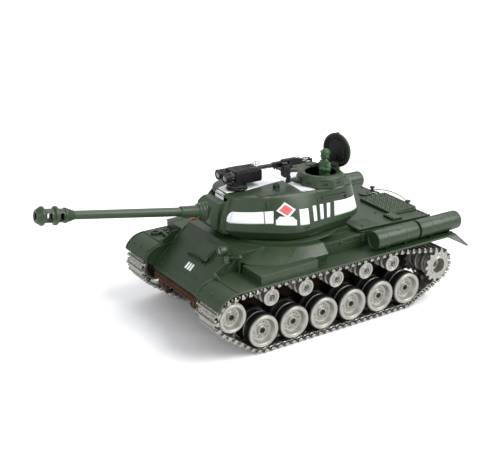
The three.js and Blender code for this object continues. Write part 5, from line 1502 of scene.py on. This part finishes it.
P.add(lathe([(0, 142.2), (11.0, 142.2), (11.2, 143.4), (10.6, 144.6), (9.4, 145.0), (9.4, 147.2), (8.4, 147.8), (8.2, 151.6), (0, 151.8)], 56, "z"), T(54, 3.8, 0))
P.add(ringlathe([(9.3, 145.6), (10.2, 145.6), (10.2, 146.6), (9.3, 146.6)], 56, "z"), T(54, 3.8, 0), 2)
for k in range(6):
    a = 2 * PI * k / 6
    P.add(bolt(1.0, 0.7), T(54 + 9.9 * math.cos(a), 3.8 + 9.9 * math.sin(a), 144.6), 2)
P.add(tube([(44, -9, 151.5), (42, -13, 148.0), (40, -15, 144.6), (38, -15, 142.6)], 0.7, 8), None, 0)
P.done()

# ---------------------------------------------------------------- machine gun
P = Part("gun_cradle_look", "mg_cradle", [BLACK], X=MG, bevel=0.18, replaces="gun_cradle", slot="black_plastic")
P.add(lathe([(0, -6.6), (2.3, -6.6), (2.3, -5.2), (1.8, -4.9), (1.8, -3.4), (0, -3.3)], 24, "z"))
P.add(prism([(-2.2, -4.4), (2.2, -4.4), (3.0, -3.8), (2.4, -3.0), (-2.4, -3.0), (-3.0, -3.8)], -4.5, 4.5, "xz"))
for s in (-1, 1):
    P.add(prism([(-2.2, -4.2), (2.2, -4.2), (1.7, 0.6), (1.2, 1.6), (-1.2, 1.6), (-1.7, 0.6)], s * 3.5, s * 4.5, "xz"))
    P.add(lathe([(0, s * 4.4), (1.1, s * 4.4), (1.1, s * 5.1), (0, s * 5.3)], 12, "y"))
P.add(tube([(-1.5, 4.6, -3), (-4.5, 5.6, -3.6), (-7.2, 5.8, -3.2)], 0.45, 8))
P.done()
P = Part("machine_gun_look", "mg", [BLACK, GUNMETAL], X=MG, bevel=0.14, replaces="machine_gun", slot="black_plastic")
P.add(prism([(-15, -1.6), (-13.6, -2.4), (18.6, -2.4), (20, -1.2), (20, 1.6), (18, 2.6), (4.0, 3.0), (-2.0, 3.6), (-13.8, 3.6), (-15, 2.8)], -2.3, 2.3, "xz"))
P.add(prism([(-9.5, 3.4), (8.5, 2.9), (7.2, 4.3), (-8.6, 4.7)], -2.5, 2.5, "xz"))
P.add(box(-11, -3, -2.6, -2.1, -0.9, 1.2))
P.add(box(13.0, 14.0, -0.6, 0.6, -5.4, -2.2))
P.add(box(16.0, 17.0, -0.6, 0.6, -4.6, -2.2))
P.add(box(-13.6, -12.4, -3.6, 3.6, -0.4, 0.8))
P.add(tube([(-1.5, 1.8, 0.6), (-1.5, 3.0, 0.6), (0.8, 3.2, 0.6)], 0.42, 8))
# barrel jacket, barrel, muzzle cone, gas tube
P.add(lathe([(0, 9), (1.75, 9), (1.85, 10), (1.85, 11.2), (1.3, 11.6), (1.25, 15)] + [q for k in range(9) for q in ((1.25, 15.2 + k * 1.6), (1.75, 15.35 + k * 1.6), (1.75, 15.95 + k * 1.6), (1.25, 16.1 + k * 1.6))] + [(1.2, 30), (1.0, 31), (1.0, 36.0), (1.6, 36.8), (2.3, 39.6), (1.9, 39.8), (0.7, 38.8), (0, 38.6)], 28, "x"), T(6.2, 0, 0.6), 1)
P.add(lathe([(0, 8), (0.75, 8), (0.75, 27), (0.5, 28), (0, 28)], 16, "x"), T(8.5, 0, -1.5), 1)
P.add(box(34.2, 35.6, -0.5, 0.5, -1.6, 0.2))
P.add(box(40.0, 40.8, -0.3, 0.3, 1.2, 4.4))
# spade grips and trigger
for s in (-1, 1):
    P.add(tube([(-14.8, s * 1.4, 1.8), (-19.5, s * 2.5, 2.2), (-25.0, s * 2.7, 2.0), (-25.6, s * 2.7, -1.2), (-14.8, s * 1.5, -1.0)], 0.65, 8))
    P.add(lathe([(0, -2.2), (1.05, -2.0), (1.15, -0.8), (1.05, 1.6), (0, 1.8)], 14, "z"), T(-25.6, s * 2.2, 0.5))
P.add(tube([(-22.0, -2.4, 0.6), (-22.0, 2.4, 0.6)], 0.4, 8))
P.add(box(-16.4, -15.0, -1.0, 1.0, -0.6, 0.6))
# ammunition box on its tray with the belt up to the feed
P.add(prism([(3.6, -10.8), (4.4, -11.8), (9.6, -11.8), (10.4, -10.8), (10.4, 0.4), (9.6, 1.3), (3.4, 1.3)], 2.6, 10.0, "xz"))
P.add(box(3.3, 10.6, 2.4, 10.2, -0.6, 0.2))
P.add(box(4.6, 9.2, 9.8, 10.15, -10.2, -1.4))
for k in range(6):
    P.add(lathe([(0, -2.4), (0.45, -2.4), (0.45, 2.4), (0.2, 3.2), (0, 3.3)], 8, "x"), T(7.0, 2.6 + k * 0.75, 1.9 + 0.5 * math.sin(k * 0.55)), 1)
P.done()
# ring sight on its stalk
P = Part("ring_sight", "mg", [BLACK], X=MG)
M = T(37.7, 0, 5.2)
P.add(tube([(4.2 * math.cos(a), 0, 1.8 * math.sin(a)) for a in [2 * PI * i / 36 for i in range(36)]], 0.32, 6, closed=True), M)
P.add(tube([(-4.2, 0, 0), (4.2, 0, 0)], 0.2, 6), M)
P.add(tube([(0, 0, 1.8), (0, 0, -3.4)], 0.3, 8), M)
P.add(tube([(-10.4, -0.5, 3.6), (-10.4, -0.5, 6.6), (-10.4, 0.5, 6.8)], 0.35, 6))
P.done()

# ---------------------------------------------------------------- inside the hull
for s, side in ((1, "left"), (-1, "right")):
    P = Part(f"gearbox_look_{side}", "hull", [BLACK, GUNMETAL, SILVER], bevel=0.3, replaces=f"gearbox_{side}", slot="gearbox_case")
    M = Matrix.Diagonal((1, s, 1, 1))
    P.add(prism([(-207, 30), (-207, 59), (-237, 59), (-237, 49), (-225.5, 30)], 4, 8, "xz"), M)
    P.add(prism([(-207, 30), (-207, 59), (-237, 59), (-237, 49), (-225.5, 30)], 37, 41, "xz"), M)
    P.add(lathe([(0, -206), (10.6, -206), (10.8, -203), (10.8, -174), (10.2, -171.5), (3, -171.2), (3, -170.2), (0, -170.2)], 40, "x"), M @ T(0, 18, 40), 1)
    for x, z, rr, y0 in ((-214, 38, 6.5, 12), (-216, 50, 8.2, 18), (-229, 51.5, 6.8, 24), (-222, 44, 5.0, 30)):
        teeth = []
        N = int(rr * 3)
        for k in range(N):
            for fr, q in ((-0.3, rr - 0.9), (-0.15, rr), (0.15, rr), (0.3, rr - 0.9)):
                a = 2 * PI * (k + fr) / N
                teeth.append((x + q * math.cos(a), z + q * math.sin(a)))
        P.add(prism(teeth, y0, y0 + 4, "xz"), M, 2)
        P.add(lathe([(0, 6), (1.2, 6), (1.2, 39), (0, 39)], 12, "y"), M @ T(x, 0, z), 2)
    P.done()
P = Part("battery_look", "hull", [BLUEWRAP, BLACK, SILVER], bevel=0.5, replaces="battery_pack", slot="battery_wrap")
for k in range(4):
    for j in range(2):
        P.add(lathe([(0, -59), (5.9, -59), (6.2, -58), (6.2, 8), (5.9, 9), (2.2, 9), (2.2, 10), (0, 10)], 28, "x"), T(0, -18 + 12 * k, 35 + 13 * j), 0)
P.add(box(-30, -22, -23.8, 23.8, 28.6, 55.4), None, 1)
P.done()
P = Part("control_board_look", "hull", [BOARD, BLACK, SILVER], bevel=0.15, replaces="control_board", slot="circuit_board")
P.add(box(-159.6, -95.4, -34.6, 34.6, 29.6, 31.2))
for k in range(14):
    x, y = -154 + (k % 5) * 12.5, -28 + (k // 5) * 24
    P.add(box(x, x + 6 + (k % 3) * 2, y, y + 8 + (k % 2) * 5, 31.1, 33 + (k % 4)), None, 1)
for k in range(8):
    P.add(lathe([(0, 31.1), (2.0, 31.1), (2.0, 36.2), (0, 36.6)], 18, "z"), T(-150 + k * 7, 31, 0), 2)
P.done()
P = Part("turret_motor_look", "hull", [BLACK, GUNMETAL, SILVER], replaces="turret_motor", slot="gearbox_case", bevel=0.2)
P.add(lathe([(0, 62), (8.6, 62), (8.9, 63), (8.9, 84.8), (8.4, 85.8), (0, 85.8)], 40, "z"), T(-121, 0, 0), 1)
teeth = []
for k in range(14):
    for fr, q in ((-0.3, 3.4), (-0.15, 4.4), (0.15, 4.4), (0.3, 3.4)):
        a = 2 * PI * (k + fr) / 14
        teeth.append((-121 + q * math.cos(a), q * math.sin(a)))
P.add(prism(teeth, 85.6, 90.4, "xy"), None, 2)
P.done()

# ---------------------------------------------------------------- floor, camera, light
t = NT("studio_floor")
nz = t.noise(14, 3.0)
t.link(t.mix(t.rng(nz, 0.3, 0.7), lin(247, 247, 248), lin(251, 251, 252)), t.b.inputs["Base Color"])
t.b.inputs["Roughness"].default_value = 0.55
t.b.inputs["Specular IOR Level"].default_value = 0.25
bm = bmesh.new()
N, RFL = 64, 6.0
prof = [(0.0, 0.0), (1.2, 0.0), (2.6, 0.0), (RFL, 0.0)]
c = bm.verts.new((0, 0, 0))
prev = None
for rr, z in prof[1:]:
    ring = [bm.verts.new((rr * math.cos(2 * PI * k / N), rr * math.sin(2 * PI * k / N), z)) for k in range(N)]
    for k in range(N):
        if prev is None:
            bm.faces.new((c, ring[k], ring[(k + 1) % N]))
        else:
            bm.faces.new((prev[k], ring[k], ring[(k + 1) % N], prev[(k + 1) % N]))
    prev = ring
me = bpy.data.meshes.new("floor")
bm.to_mesh(me)
bm.free()
me.materials.append(t.m)
floor = bpy.data.objects.new("floor", me)
floor.location = (0, 0, 0)
bpy.context.scene.collection.objects.link(floor)

cam = bpy.data.cameras.new("camera")
cam.lens = 72.69
cam.sensor_width = 36
cam.clip_start = 0.01
co = bpy.data.objects.new("camera", cam)
fwd = Vector((-0.78013, 0.51291, -0.35821)).normalized()
upv = Vector((-0.29952, 0.19648, 0.93364)).normalized()
rt = fwd.cross(upv).normalized()
upv = rt.cross(fwd).normalized()
co.matrix_world = Matrix(((rt.x, upv.x, -fwd.x, 0.828376), (rt.y, upv.y, -fwd.y, -0.541758), (rt.z, upv.z, -fwd.z, 0.477905), (0, 0, 0, 1)))
bpy.context.scene.collection.objects.link(co)
bpy.context.scene.camera = co

w = bpy.data.worlds.new("studio")
bpy.context.scene.world = w
w.use_nodes = True
bg = w.node_tree.nodes["Background"]
bg.inputs[0].default_value = (0.97, 0.98, 1.0, 1)
wt = w.node_tree
tcw = wt.nodes.new("ShaderNodeTexCoord")
spw = wt.nodes.new("ShaderNodeSeparateXYZ")
mrw = wt.nodes.new("ShaderNodeMapRange")
mrw.interpolation_type = "SMOOTHSTEP"
for k_, v_ in (("From Min", 0.0), ("From Max", 0.9), ("To Min", 0.56), ("To Max", 0.78)):
    mrw.inputs[k_].default_value = v_
wt.links.new(tcw.outputs["Generated"], spw.inputs[0])
wt.links.new(spw.outputs[2], mrw.inputs["Value"])
wt.links.new(mrw.outputs["Result"], bg.inputs[1])


def area(name, loc, target, size, power, color=(1, 1, 1), size_y=None):
    l = bpy.data.lights.new(name, "AREA")
    l.energy = power
    l.color = color
    l.shape = "RECTANGLE"
    l.size = size
    l.size_y = size_y or size
    o = bpy.data.objects.new(name, l)
    o.location = loc
    d = Vector(target) - Vector(loc)
    o.rotation_euler = d.to_track_quat("-Z", "Y").to_euler()
    bpy.context.scene.collection.objects.link(o)
    return o


sun = bpy.data.lights.new("key_softbox", "SUN")
sun.energy = 2.9
sun.angle = rad(46)
sun.color = (1.0, 0.995, 0.98)
so = bpy.data.objects.new("key_softbox", sun)
so.rotation_euler = (-Vector((0.772 * 0.743, 0.629 * 0.743, 0.669))).to_track_quat("-Z", "Y").to_euler()
bpy.context.scene.collection.objects.link(so)
area("front_fill", (0.5, -1.7, 0.9), (0, 0, 0.06), 0.9, 9, (0.98, 0.99, 1.0))
area("rear_strip", (-0.6, 0.9, 1.3), (0, 0, 0.1), 1.4, 7, (1, 1, 1), 0.4)
bpy.context.scene.view_settings.view_transform = "Standard"
